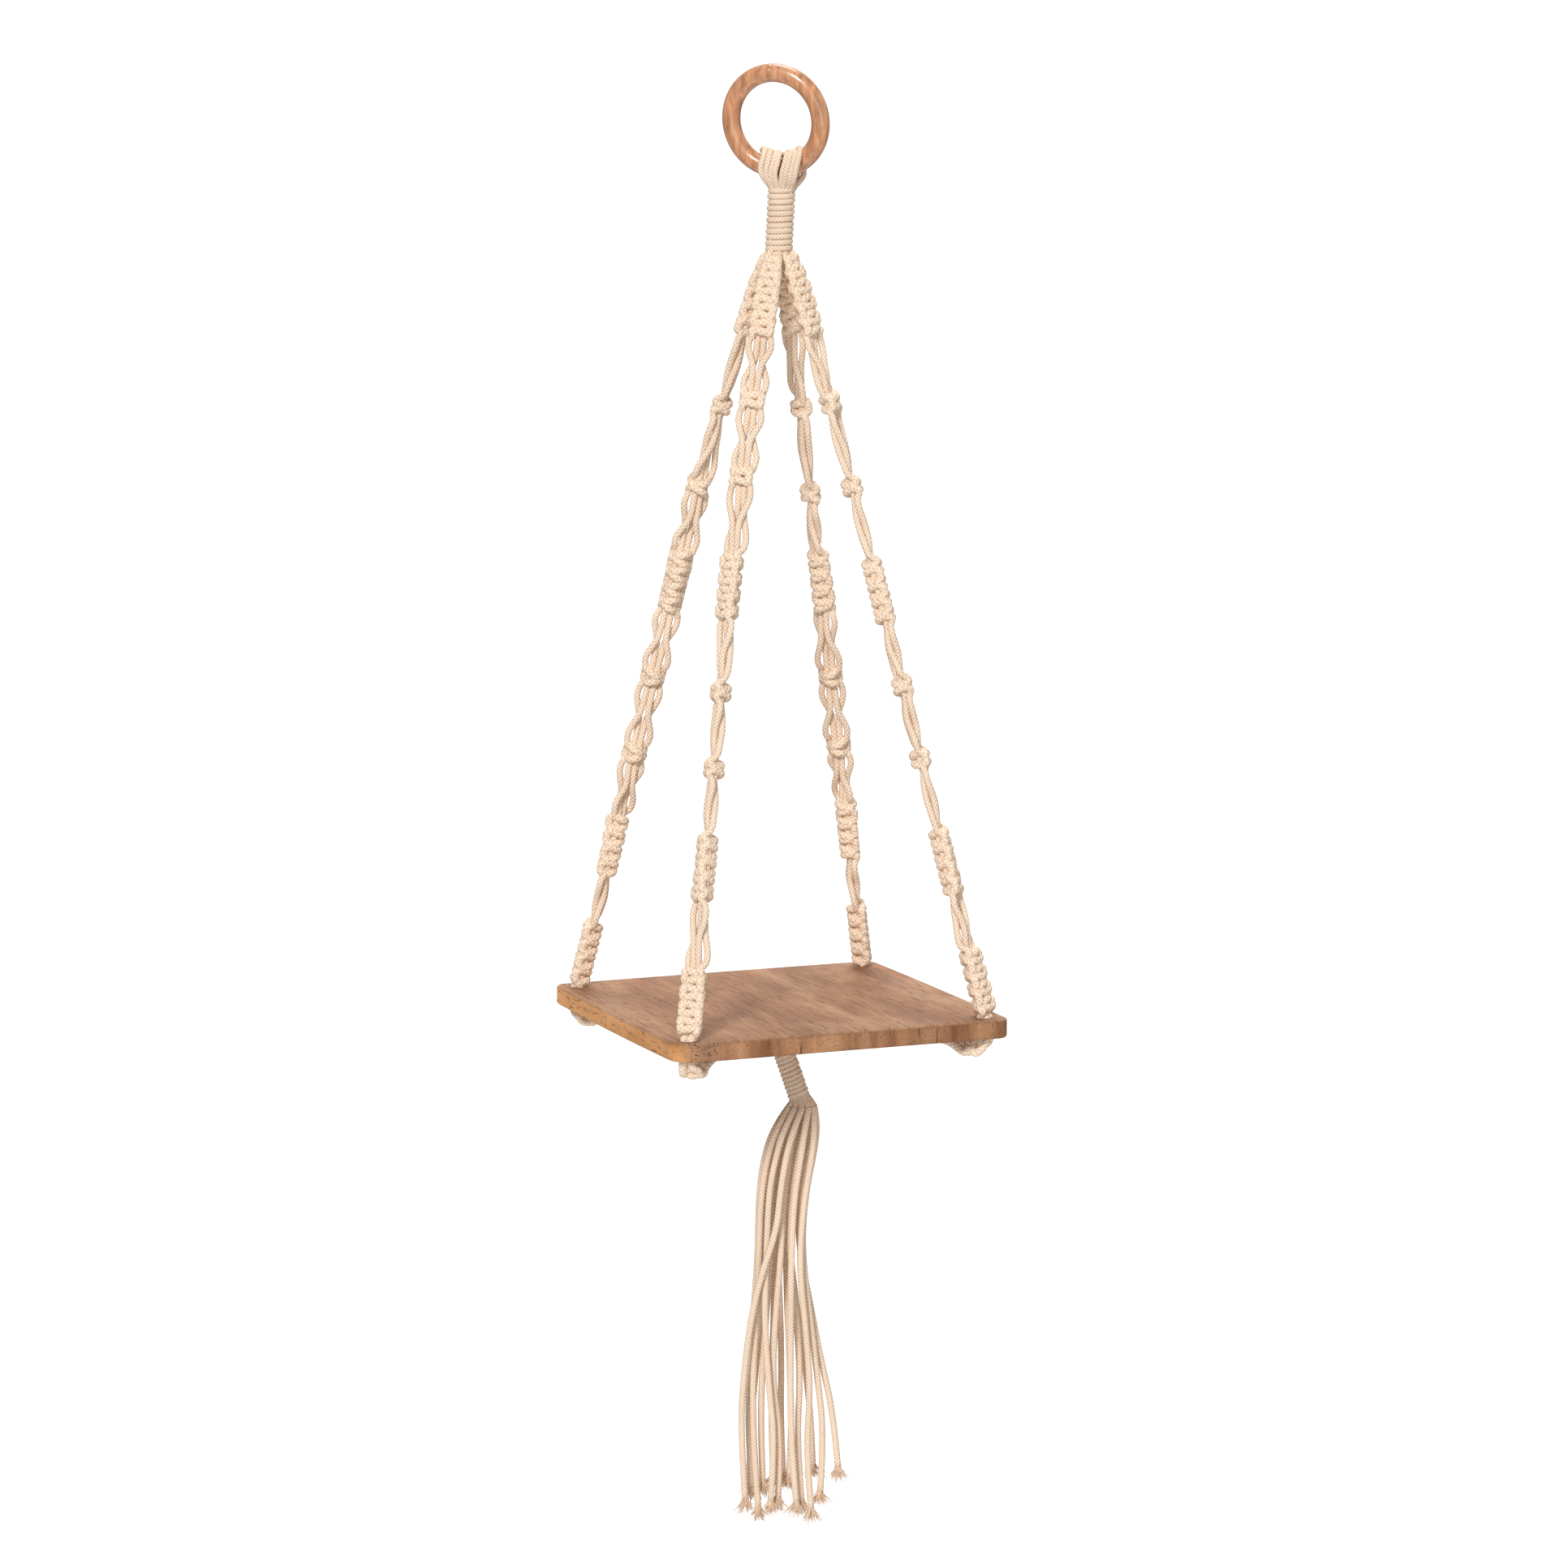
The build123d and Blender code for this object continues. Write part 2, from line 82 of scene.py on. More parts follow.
# ---------------------------------------------------------------- sizes in mm, angles in degrees
RING_R = 34.0
RING_BAR = 6.6
RING_FACING = -135.0
RING_LEAN = 8.0
RING_FLATNESS = 0.97  # how thick the bar is, against how wide
GLUE_LINE = 0.5  # the ring's one joint, at its top: how wide the fine groove is
GLUE_DEPTH = 0.16
ARM_START_R = 7.5
HOLE_X, HOLE_Y = 113.0, 111.0
KNOT_LONG = 11.5  # one square knot, which is two half knots
TASSEL_TURN = -22.0
FLOOR_HEIGHT = -5.0  # in metres, as the floor's size is
FLOOR_SIZE = 8.0
WALL_LIGHT = 0.3  # the soft light from all round
WALL_SEEN = 1.2  # the walls look as bright as the floor does
# Each light: the way it comes from, how strong it is, and how soft, in degrees.
LIGHTS = (
    ("key", (-1.0, -1.25, 0.95), 2.4, 12),
    ("overhead", (0.15, 0.35, 1.0), 1.8, 35),
    ("fill", (1.2, -0.7, 0.4), 0.35, 50),
    ("front", (-0.35, -1.3, -0.12), 0.6, 30),
    ("rim", (0.8, 1.2, 0.5), 0.8, 50),
)
CAMERA_AZIMUTH = -22.28
CAMERA_ELEVATION = 8.53
CAMERA_DISTANCE = 4.0  # in metres
LENS = 128.1
SENSOR = 36.0
LOOK_ABOVE = 158.3  # the camera looks this far above the board's top
LOOK_RIGHT = 3.9

NECK_R = 10.0
TASSEL_WRAP_R = 8.0
TASSEL_WRAPPED = (5.2, 48.0)  # where the wrap starts and ends, down the tassel's own axis
TASSEL_MOUTH = 53.5

LOOPS = 8
LOOP_PITCH = 3.85
LOOP_RISE = 0.9
WRAP_CORD = 4.2  # pulled tight round the neck
TASSEL_WRAP_CORD = 3.65
LOOP_CORD = 4.3  # the cord is squeezed a little where it lies over the ring
LOOP_ROOM = 0.22  # outer loops stand a little further out, as the ring curves up through them
LOOP_SLANT = 2.0  # how far each loop leans along the ring as it goes over
LOOP_BACK = 4.5  # how far each loop lies back along the ring behind it
LOOP_SHIFT = 5.0  # the loops have slid this far along the ring
NECK_LEAN = 2.6  # how far over the neck's top leans
FOOT_PITCH = 2.15  # the loops' feet, side by side in the neck wrap
FOOT_R = 8.0
NECK_CORE_R = 7.4  # the plain cores inside the two wraps
TASSEL_CORE_R = 5.7
ROOT_SQUEEZE = 0.62  # how far in the strands are drawn inside the tassel wrap
ROOT_R = 4.9
ROOT_PLACES = (36, 45.5, 49)  # down the tassel's own axis
ROOT_SPREAD = 0.12
CAP_RISE = 0.4  # how far a cord's cut end bulges, in radii
BOW_PEAK = 6.75  # makes an arm's bow 1 at its widest, a third of the way down
SQUEEZED = 0.55  # how close an arm's strands start, inside the neck wrap
SQUEEZE_LONG = 22.0
KNOT_SHAKE = 0.12  # no two knots lie quite alike
RING_GRAIN_DARK = 0.42
ROWS = (5, 1, 1, 4, 1, 1, 4, 4)  # how many square knots each row of an arm has, from the top
# Each arm: its corner, its bow, how far down the middle of each row lies, and which way it faces.
ARMS = {
    "front_left": (
        (-1, -1),
        (-6.0, -1.0),
        (29.5, 104, 159, 237, 312, 366.5, 436.5, 530),
        (-125, -115, -135, -160, -190, -195, -190, -125),
    ),
    "front_right": (
        (1, -1),
        (2.0, -2.0),
        (29.5, 108, 169, 245, 314.5, 367.5, 443, 531),
        (-70, -40, -22, -22, -10, -22, -30, -60),
    ),
    "back_right": (
        (1, 1),
        (1.0, 1.0),
        (29.5, 114.5, 181, 249, 324.5, 380, 446, 531),
        (45, 0, -22, 10, 68, 60, -10, -22),
    ),
    "back_left": (
        (-1, 1),
        (-5.0, 4.0),
        (29.5, 112.5, 172.5, 244, 317.5, 376, 446.5, 531),
        (145, 150, 100, 68, 68, 72, 140, 158),
    ),
}

# One half knot, as (share of its pitch, cords across, cords towards the face). The front cord goes from
# left to right over the two straight ones, and the back cord from right to left behind them and up
# through the front cord's loop.
FRONT_CORD = (
    (-0.5, -1.36, -0.05), (-0.26, -1.16, 0.5), (-0.12, -0.6, 0.92), (0, 0, 1.04), (0.12, 0.6, 0.92),
    (0.26, 1.16, 0.5),
)
BACK_CORD = (
    (-0.5, 1.2, 0.75), (-0.06, 1.34, 0.92), (0.36, 1.12, 0.1), (0.18, 0.55, -0.85),
    (0, 0, -1.0), (-0.18, -0.55, -0.85), (-0.36, -1.12, 0.1), (0.06, -1.34, 0.92),
)
FRONT_END = (0.0, -1.36, -0.05)
BACK_END = (0.0, 1.2, 0.75)
BRAID_COLUMNS = 8  # columns of stitches round the cord
BRAID_STITCHES = 1.9  # pairs of stitches in one diameter of its length
KNOT_SWELL = 0.3  # how much wider the cord looks inside a knot, where it is pressed flat
FILLER = 0.45  # how far each straight cord lies from the middle, in cords
# A cord between two rows: (share of the way, cords across, cords towards the face). The cords that tied
# the last knot come in to the middle, and the two straight ones swing out to tie the next.
COMING_IN = (
    (0.07, 1.6, 0.3), (0.2, 1.75, 0.25), (0.36, 1.25, 0.4), (0.52, 0.6, 0.55), (0.7, 0.5, 0.45),
    (0.88, 0.46, 0.12),
)
SWINGING_OUT = (
    (0.12, 0.46, -0.12), (0.3, 0.5, -0.45), (0.48, 0.6, -0.55), (0.64, 1.25, -0.4), (0.8, 1.75, -0.25),
    (0.93, 1.6, -0.1),
)

# The loose strands of the tassel: x is sideways, y is away from the front, and the last number is the
# drop below the wrap's mouth.
TASSEL_ROUTES = {
    "tassel_strand_01": (
        (0, -8.7, 0), (-5, -13, 12), (-11.5, -16.6, 33), (-15.8, -17.6, 60), (-18.5, -18.4, 88),
        (-28.5, -19, 118), (-36.5, -17, 150), (-42, -15, 192), (-45, -13, 237), (-41.5, -12, 289),
    ),
    "tassel_strand_02": (
        (4.7, -7.3, 0), (2.5, -10.9, 12), (-0.8, -14, 34), (-6.2, -14.4, 68), (-8, -14.6, 114),
        (-8.2, -15.2, 157), (-8.6, -14.8, 205), (-7.8, -15.6, 250), (-4.4, -15.2, 291),
    ),
    "tassel_strand_03": (
        (7.9, -3.6, 0), (9, -5.4, 12), (7.6, -7, 34), (1, -8, 70), (-2.2, -7.2, 116),
        (2.4, -8.6, 161), (6.2, -9.8, 209), (2.8, -10.2, 255), (6.6, -11, 297),
    ),
    "tassel_strand_04": (
        (8.6, 1.2, 0), (11, 1.8, 12), (9.6, 2.2, 31), (2.4, 1.4, 66), (-0.2, 2, 106),
        (5.2, 1, 153), (11.2, -0.6, 201), (16.2, -1.4, 246), (13.4, -1, 287),
    ),
    "tassel_strand_05": (
        (6.6, 5.7, 0), (7, 8.5, 12), (4.6, 10.8, 32), (-1.4, 10, 62), (-3, 10.6, 104),
        (5.6, 9.6, 147), (13.6, 8.4, 190), (22.8, 7.8, 230), (26.4, 7.2, 271),
    ),
    "tassel_strand_06": (
        (2.5, 8.3, 0), (-0.8, 12.5, 12), (-5.2, 16, 33), (-9.6, 15.8, 62), (-9.8, 16.2, 101),
        (-4.6, 15.8, 147), (1.8, 14.6, 192), (6.8, 14.4, 236), (8, 13.8, 271),
    ),
    "tassel_strand_07": (
        (-2.5, 8.3, 0), (-8.2, 12.5, 12), (-14.4, 15.8, 32), (-18.6, 16, 61), (-18.4, 15.6, 100),
        (-16.2, 16.4, 146), (-14.8, 15.6, 193), (-15.6, 15.2, 238), (-13.8, 15, 277),
    ),
    "tassel_strand_08": (
        (-7.1, 6.3, 0), (-14.5, 8.8, 12), (-22.2, 10.6, 33), (-27, 11.2, 64), (-26.8, 12, 108),
        (-29.6, 11.6, 153), (-33.6, 10.4, 199), (-37.4, 9.8, 242), (-38.6, 9.2, 282),
    ),
    "tassel_strand_09": (
        (-8.6, 1.2, 0), (-17.4, 1.9, 12), (-26.4, 2.6, 33), (-31.4, 3.2, 65), (-32, 4, 110),
        (-35.5, 3.2, 157), (-38.6, 1.8, 203), (-39.2, 1, 246), (-36.8, 0.2, 284),
    ),
    "tassel_strand_10": (
        (-8.7, -4.3, 0), (-16.8, -5.8, 13), (-24.8, -7, 35), (-30, -6.4, 68), (-31.4, -5.4, 114),
        (-33.6, -7.6, 161), (-36, -8.8, 209), (-35, -9.6, 254), (-32, -10.4, 296),
    ),
    "tassel_strand_11": (
        (-4.7, -7.3, 0), (-11.5, -10.9, 12), (-18.6, -13.8, 33), (-24.2, -13.4, 63), (-25.8, -12.4, 107),
        (-27.4, -14.2, 155), (-24.2, -15.2, 204), (-19.8, -15.8, 248), (-22.8, -16.6, 290),
    ),
    "tassel_strand_12": (
        (0, -4, 0), (-4.5, -6.2, 12), (-9.6, -8.4, 33), (-14.2, -8, 66), (-15.2, -8.6, 110),
        (-19.6, -8, 157), (-21.6, -8.4, 203), (-15.4, -8.2, 247), (-17.4, -8.6, 289),
    ),
    "tassel_strand_13": (
        (3.8, -1.2, 0), (1.4, -1.9, 12), (-2.2, -2.4, 34), (-7.2, -1.8, 66), (-9, -1, 109),
        (-4.2, -2.4, 155), (-1.2, -4.2, 203), (-3.8, -5.4, 249), (-0.4, -6.2, 292),
    ),
    "tassel_strand_14": (
        (2.4, 3.2, 0), (-0.9, 5, 12), (-5.2, 6.8, 33), (-10.6, 7, 63), (-11.8, 7.6, 104),
        (-10.8, 6.6, 149), (-8.8, 5.2, 197), (-7.4, 4, 240), (-9.2, 3.4, 277),
    ),
    "tassel_strand_15": (
        (-2.4, 3.2, 0), (-8.1, 5, 12), (-14.6, 6.8, 32), (-19.6, 7, 62), (-20.6, 7.6, 102),
        (-20.2, 6.8, 148), (-21.8, 6, 195), (-22.4, 5.4, 238), (-21, 5.6, 275),
    ),
    "tassel_strand_16": (
        (-4, -1.2, 0), (-10.8, -1.8, 12), (-17.8, -2.6, 33), (-22.6, -2.2, 64), (-22.8, -2.8, 106),
        (-25.6, -2, 151), (-29, -1.4, 197), (-30.2, -0.8, 240), (-28.6, -1.4, 280),
    ),
}


# ---------------------------------------------------------------- settings
class PlanterSizes(bpy.types.PropertyGroup):
    """Sizes that do not touch the frame."""

    cord_diameter: FloatProperty(
        name="Cord", description="Cotton cord, across", default=4.7 * MM, unit="LENGTH", subtype="DISTANCE"
    )
    neck_turns: IntProperty(name="Neck turns", description="Turns of the cord round the neck", default=11)
    tassel_turns: IntProperty(name="Tassel turns", description="Turns of cord over the tassel", default=12)
    fibres: IntProperty(name="Fibres", description="Loose fibres at each cut end", default=70)


class PlanterColours(bpy.types.PropertyGroup):
    """Colours of the cotton and the wood."""

    cotton: FloatVectorProperty(
        name="Cotton", description="Unbleached cotton", default=(0.94, 0.75, 0.58), size=3, subtype="COLOR"
    )
    # A dark cotton colour: painted shade in the braid's grooves, and the darker tone that varies at random.
    cotton_painted_shade_and_dark_tone: FloatVectorProperty(
        name="Cotton shade", description="In hollows", default=(0.52, 0.31, 0.18), size=3, subtype="COLOR"
    )
    board: FloatVectorProperty(
        name="Board", description="Its oiled wood", default=(0.47, 0.26, 0.147), size=3, subtype="COLOR"
    )
    board_dark: FloatVectorProperty(
        name="Board streaks", description="Dark grain", default=(0.22, 0.10, 0.055), size=3, subtype="COLOR"
    )
    ring: FloatVectorProperty(
        name="Ring", description="Its lacquered wood", default=(0.72, 0.335, 0.165), size=3, subtype="COLOR"
    )


# ---------------------------------------------------------------- small vector helpers
def around(angle):
    """A level vector at that angle from +X."""
    return np.array([math.cos(math.radians(angle)), math.sin(math.radians(angle)), 0.0])


def unit(vector):
    return np.asarray(vector, float) / np.linalg.norm(vector)


def hole_centre(corner):
    return np.array([AXIS_X + corner[0] * HOLE_X, AXIS_Y + corner[1] * HOLE_Y, BOARD_TOP])


def smooth_line(points, resolution=6):
    """The points of a smooth curve through a route, read from one NURBS spline."""
    curve = bpy.data.curves.new("route", "CURVE")
    curve.dimensions = "3D"
    spline = curve.splines.new("NURBS")
    spline.points.add(len(points) - 1)
    for point, place in zip(spline.points, points):
        point.co = (*place, 1.0)
    spline.order_u = 3
    spline.use_endpoint_u = True
    spline.resolution_u = resolution
    holder = bpy.data.objects.new("route", curve)
    bpy.context.scene.collection.objects.link(holder)
    bpy.context.view_layer.update()
    mesh = bpy.data.meshes.new_from_object(holder)
    line = np.array([vertex.co for vertex in mesh.vertices], float)
    bpy.data.objects.remove(holder)
    bpy.data.meshes.remove(mesh)
    bpy.data.curves.remove(curve)
    return line


def evenly(line, step):
    """The same line with its points about one step apart."""
    gaps = np.linalg.norm(np.diff(line, axis=0), axis=1)
    along = np.concatenate([[0.0], np.cumsum(gaps)])
    count = max(int(round(along[-1] / step)), 4)
    at = np.linspace(0, along[-1], count + 1)
    return np.stack([np.interp(at, along, line[:, k]) for k in range(3)], axis=1)


# ---------------------------------------------------------------- cords as mesh tubes
def tube_mesh(line, radius, sides):
    """Rings of points along a line, with faces and a UV of (share of the way round, cords along)."""
    line = np.asarray(line, float)
    ahead = np.gradient(line, axis=0)
    ahead /= np.linalg.norm(ahead, axis=1)[:, None]
    side = unit(np.cross(ahead[0], (0.31, 0.87, 0.38)))
    sides_of = [side]
    for direction in ahead[1:]:
        side = unit(side - direction * np.dot(side, direction))
        sides_of.append(side)
    across = np.array(sides_of)
    up = np.cross(ahead, across)
    turn = np.linspace(0, 2 * math.pi, sides, endpoint=False)
    radius = np.broadcast_to(np.asarray(radius, float), (len(line),))
    ring = across[:, None] * np.cos(turn)[None, :, None] + up[:, None] * np.sin(turn)[None, :, None]
    points = (line[:, None] + ring * radius[:, None, None]).reshape(-1, 3)
    gaps = np.linalg.norm(np.diff(line, axis=0), axis=1)
    along = np.concatenate([[0.0], np.cumsum(gaps)]) / (2 * max(radius.max(), 1e-6))
    faces = []
    corners = []
    for i in range(len(line) - 1):
        for j in range(sides):
            k = (j + 1) % sides
            faces.append((i * sides + j, i * sides + k, (i + 1) * sides + k, (i + 1) * sides + j))
            low, high = j / sides, (j + 1) / sides
            corners += [(low, along[i]), (high, along[i]), (high, along[i + 1]), (low, along[i + 1])]
    first = len(points)
    start_cap = line[:1] - ahead[:1] * radius[0] * CAP_RISE
    end_cap = line[-1:] + ahead[-1:] * radius[-1] * CAP_RISE
    points = np.concatenate([points, start_cap, end_cap])
    last_ring = (len(line) - 1) * sides
    for j in range(sides):
        k = (j + 1) % sides
        faces.append((k, j, first))
        corners += [((j + 1) / sides, along[0]), (j / sides, along[0]), (0.5, along[0])]
        faces.append((last_ring + j, last_ring + k, first + 1))
        corners += [(j / sides, along[-1]), ((j + 1) / sides, along[-1]), (0.5, along[-1])]
    return points, faces, corners


def mesh_piece(name, parts, material):
    """One object, in metres, from several (points in mm, faces, uv) parts."""
    points = []
    faces = []
    corners = []
    for part_points, part_faces, part_corners in parts:
        start = sum(len(p) for p in points)
        points.append(part_points)
        faces += [tuple(start + i for i in face) for face in part_faces]
        corners += part_corners
    mesh = bpy.data.meshes.new(name)
    mesh.from_pydata((np.concatenate(points) * MM).tolist(), [], faces)
    layer = mesh.uv_layers.new(name="UVMap")
    layer.data.foreach_set("uv", np.array(corners, np.float32).ravel())
    mesh.polygons.foreach_set("use_smooth", [True] * len(faces))
    mesh.materials.append(material)
    mesh.update()
    piece = bpy.data.objects.new(name, mesh)
    bpy.context.scene.collection.objects.link(piece)
    return piece


# ---------------------------------------------------------------- arms
class Arm:
    """The middle line of one arm, from the neck wrap to its hole in the board."""

    def __init__(self, name):
        self.name = name
        self.corner, self.bow, self.middles, facings = ARMS[name]
        self.start = np.array([AXIS_X, AXIS_Y, NECK_BOTTOM]) + unit((*self.corner, 0)) * ARM_START_R
        self.end = hole_centre(self.corner)
        self.long = np.linalg.norm(self.end - self.start)
        self.stations = (0.0, *self.middles, self.long)
        self.turns = (facings[0], *facings, facings[-1])

    def point(self, along):
        share = min(max(along / self.long, 0.0), 1.0)
        swell = BOW_PEAK * share * (1 - share) ** 2
        return self.start + (self.end - self.start) * share + np.array([*self.bow, 0.0]) * swell

    def plumpness(self, point):
        """How much thicker the cord looks here, because it is pressed flat where it is knotted."""
        along = np.dot(point - self.start, self.end - self.start) / self.long
        inside = max(
            min(along - middle + count * KNOT_LONG / 2 + 1, middle + count * KNOT_LONG / 2 + 1 - along)
            for count, middle in zip(ROWS, self.middles)
        )
        inside = max(inside, along - self.long + 3.0)
        return 1.0 + KNOT_SWELL * min(max(inside / 3.0, 0.0), 1.0)

    def place(self, along, wide, out):
        """A point beside the arm: so far to its left or right, and so far towards its face."""
        down = unit(self.point(along + 4) - self.point(along - 4))
        facing = around(np.interp(along, self.stations, self.turns))
        side = unit(np.cross(down, facing))
        return self.point(along) + side * wide + np.cross(side, down) * out


def knot_points(middle, count, cord, pitch, mirror, dice):
    """Control points, as (along, wide, out), of the four cords of one row of square knots."""
    front, back = [], []
    start = middle - count * pitch
    for half in range(2 * count):
        turn = mirror * (1 if half % 2 == 0 else -1)
        at = start + (half + 0.5) * pitch
        loose = 1 + dice.uniform(-0.05, 0.05)
        front += [(at + s * pitch, u * turn * cord * loose, v * cord) for s, u, v in FRONT_CORD]
        back += [(at + s * pitch, u * turn * cord * loose, v * cord) for s, u, v in BACK_CORD]
    end = start + 2 * count * pitch
    front.append((end, FRONT_END[1] * mirror * cord, FRONT_END[2] * cord))
    back.append((end, BACK_END[1] * mirror * cord, BACK_END[2] * cord))
    fillers = []
    for side in (-1, 1):
        steps = [start + 2 * pitch * count * share for share in (0.0, 0.5, 1.0)]
        fillers.append([(at, side * FILLER * cord, 0.0) for at in steps])
    return front, back, fillers[0], fillers[1], start, end


def arm_strands(arm, cord):
    """The routes of an arm's four strands, in mm, from inside the neck wrap down into its hole."""
    dice = random.Random(arm.name)
    pitch = KNOT_LONG / 2
    routes = [[], [], [], []]
    last_end = None
    for row, (count, middle) in enumerate(zip(ROWS, arm.middles)):
        workers = (0, 3) if row % 2 == 0 else (1, 2)
        straight = (1, 2) if row % 2 == 0 else (0, 3)
        mirror = dice.choice((-1, 1))
        front, back, left, right, start, end = knot_points(middle, count, cord, pitch, mirror, dice)
        if last_end is not None:
            gap = start - last_end
            for pair, between in ((workers, SWINGING_OUT), (straight, COMING_IN)):
                for strand, way in zip(pair, (-1, 1)):
                    routes[strand] += [(last_end + t * gap, way * u * cord, v * cord) for t, u, v in between]
        routes[workers[0]] += front if mirror > 0 else back
        routes[workers[1]] += back if mirror > 0 else front
        routes[straight[0]] += left
        routes[straight[1]] += right
        last_end = end
    placed = []
    for strand, route in enumerate(routes):
        points = []
        for along, wide, out in route:
            squeeze = np.interp(along, (0.0, SQUEEZE_LONG), (SQUEEZED, 1.0))
            shake = [dice.gauss(0, KNOT_SHAKE) for _ in range(3)]
            points.append(arm.place(along + shake[0], wide * squeeze + shake[1], out * squeeze + shake[2]))
        placed.append(points)
    return placed


def neck_feet(arm, strand):
    """Where a strand of an arm lies inside the neck wrap."""
    outward = unit((*arm.corner, 0))
    sideways = np.cross(outward, (0, 0, 1))
    reach, width = {0: (5.6, -2.6), 3: (5.6, 2.6), 1: (3.4, -1.2), 2: (3.4, 1.2)}[strand]
    return np.array([AXIS_X, AXIS_Y, 0]) + outward * reach + sideways * width


def under_board(arm, strand, cord):
    """Route under one corner: down the hole, through one square knot, then along the board to its middle."""
    hole = arm.end
    inward = unit((AXIS_X - hole[0], AXIS_Y - hole[1], 0))
    left = np.cross((0, 0, 1), inward)
    reach = math.hypot(hole[0] - AXIS_X, hole[1] - AXIS_Y)
    dice = random.Random(arm.name + "under")

    def place(x, y, z):
        return np.array([hole[0], hole[1], BOARD_BOTTOM]) + inward * x + left * y + np.array([0, 0, z])

    spots = {0: (-0.58, -0.58), 3: (-0.58, 0.58), 1: (0.58, -0.58), 2: (0.58, 0.58)}[strand]
    x, y = (part * cord for part in spots)
    route = [
        place(x, y, BOARD_TOP - BOARD_BOTTOM - 1),
        place(x, y, (BOARD_TOP - BOARD_BOTTOM) / 2),
        place(x, y, 0.5),
    ]
    pitch = 6.2
    knot = knot_points(9.0, 1, cord, pitch, 1, dice)
    chosen = {0: knot[0], 3: knot[1], 1: knot[2], 2: knot[3]}[strand]
    depth = -1.55 * cord
    route.append(place(x * 0.6, y * 1.3, depth * 0.7))
    route += [place(along, wide, depth - out) for along, wide, out in chosen]
    lane = {0: -1.5, 1: -0.5, 2: 0.5, 3: 1.5}[strand] * cord * 1.02
    for along in (26, 48, 80, 112, reach - 22):
        route.append(place(along, lane + dice.gauss(0, 0.25), -cord * 0.52 - abs(dice.gauss(0, 0.2))))
    route.append(place(reach - 12, lane * 0.9, -cord * 0.56))
    return route


# ---------------------------------------------------------------- materials
def new_material(name):
    material = bpy.data.materials.new(name)
    material.use_nodes = True
    tree = material.node_tree
    shader = tree.nodes["Principled BSDF"]
    return material, tree, shader


def add(tree, kind, **values):
    node = tree.nodes.new(kind)
    for key, value in values.items():
        if hasattr(node, key):
            setattr(node, key, value)
        else:
            node.inputs[key].default_value = value
    return node


def maths(tree, operation, first, second=None, third=None):
    node = tree.nodes.new("ShaderNodeMath")
    node.operation = operation
    for socket, value in zip(node.inputs, (first, second, third)):
        if value is None:
            continue
        if isinstance(value, (int, float)):
            socket.default_value = value
        else:
            tree.links.new(value, socket)
    return node.outputs[0]


def blend_colours(tree, factor, first, second):
    node = tree.nodes.new("ShaderNodeMix")
    node.data_type = "RGBA"
    for socket, value in ((node.inputs[0], factor), (node.inputs[6], first), (node.inputs[7], second)):
        if isinstance(value, (int, float)):
            socket.default_value = value
        elif isinstance(value, tuple):
            socket.default_value = (*value[:3], 1.0)
        else:
            tree.links.new(value, socket)
    return node.outputs[2]


def cotton_material(name, warmth=1.0):
    """Braided cotton: plaited ribs that cross in V shapes along the cord, soft and dull, with painted shade
    in the grooves between the ribs.
    """
    colours = bpy.context.scene.planter_colours
    material, tree, shader = new_material(name)
    uv = add(tree, "ShaderNodeTexCoord")
    split = add(tree, "ShaderNodeSeparateXYZ")
    tree.links.new(uv.outputs["UV"], split.inputs[0])
    around_cord = maths(tree, "MULTIPLY", split.outputs[0], 2 * math.pi * BRAID_COLUMNS / 2)
    along_cord = maths(tree, "MULTIPLY", split.outputs[1], 2 * math.pi * BRAID_STITCHES)
    one_way = maths(tree, "COSINE", maths(tree, "ADD", around_cord, along_cord))
    other_way = maths(tree, "COSINE", maths(tree, "SUBTRACT", around_cord, along_cord))
    crossing = maths(tree, "MULTIPLY", maths(tree, "SINE", around_cord), maths(tree, "SINE", along_cord))
    turned = maths(tree, "GREATER_THAN", crossing, 0.0)
    chosen = maths(tree, "MULTIPLY", maths(tree, "SUBTRACT", one_way, other_way), turned)
    ribs = maths(tree, "MULTIPLY", maths(tree, "ADD", chosen, other_way), -1.0)
    fine = add(tree, "ShaderNodeTexNoise", Scale=2600.0, Detail=2.0)
    soft = add(tree, "ShaderNodeTexNoise", Scale=26.0, Detail=3.0)
    for texture in (fine, soft):
        tree.links.new(uv.outputs["Object"], texture.inputs["Vector"])
    depth = maths(tree, "MULTIPLY_ADD", ribs, 0.5, 0.5)
    mottled = maths(tree, "MULTIPLY", soft.outputs[0], 0.5)
    mottled = maths(tree, "MULTIPLY_ADD", fine.outputs[0], 0.5, mottled)
    # Painted shade: where the braid's ribs sink into grooves (low depth), the colour is blended towards the
    # dark shade colour; the mottling on top varies at random.
    light = maths(tree, "MULTIPLY_ADD", depth, 0.5, maths(tree, "MULTIPLY_ADD", mottled, 0.9, 0.05))
    base = blend_colours(tree, light, tuple(colours.cotton_painted_shade_and_dark_tone), tuple(warmth * c for c in colours.cotton))
    tree.links.new(base, shader.inputs["Base Color"])
    shader.inputs["Roughness"].default_value = 0.92
    shader.inputs["Sheen Weight"].default_value = 0.12
    shader.inputs["Sheen Tint"].default_value = (1.0, 0.84, 0.66, 1)
    shader.inputs["Sheen Roughness"].default_value = 0.5
    shader.inputs["Specular IOR Level"].default_value = 0.1
    bump = add(tree, "ShaderNodeBump", Strength=0.9, Distance=0.0006)
    height = maths(tree, "ADD", depth, maths(tree, "MULTIPLY", fine.outputs[0], 0.5))
    tree.links.new(height, bump.inputs["Height"])
    tree.links.new(bump.outputs[0], shader.inputs["Normal"])
    return material


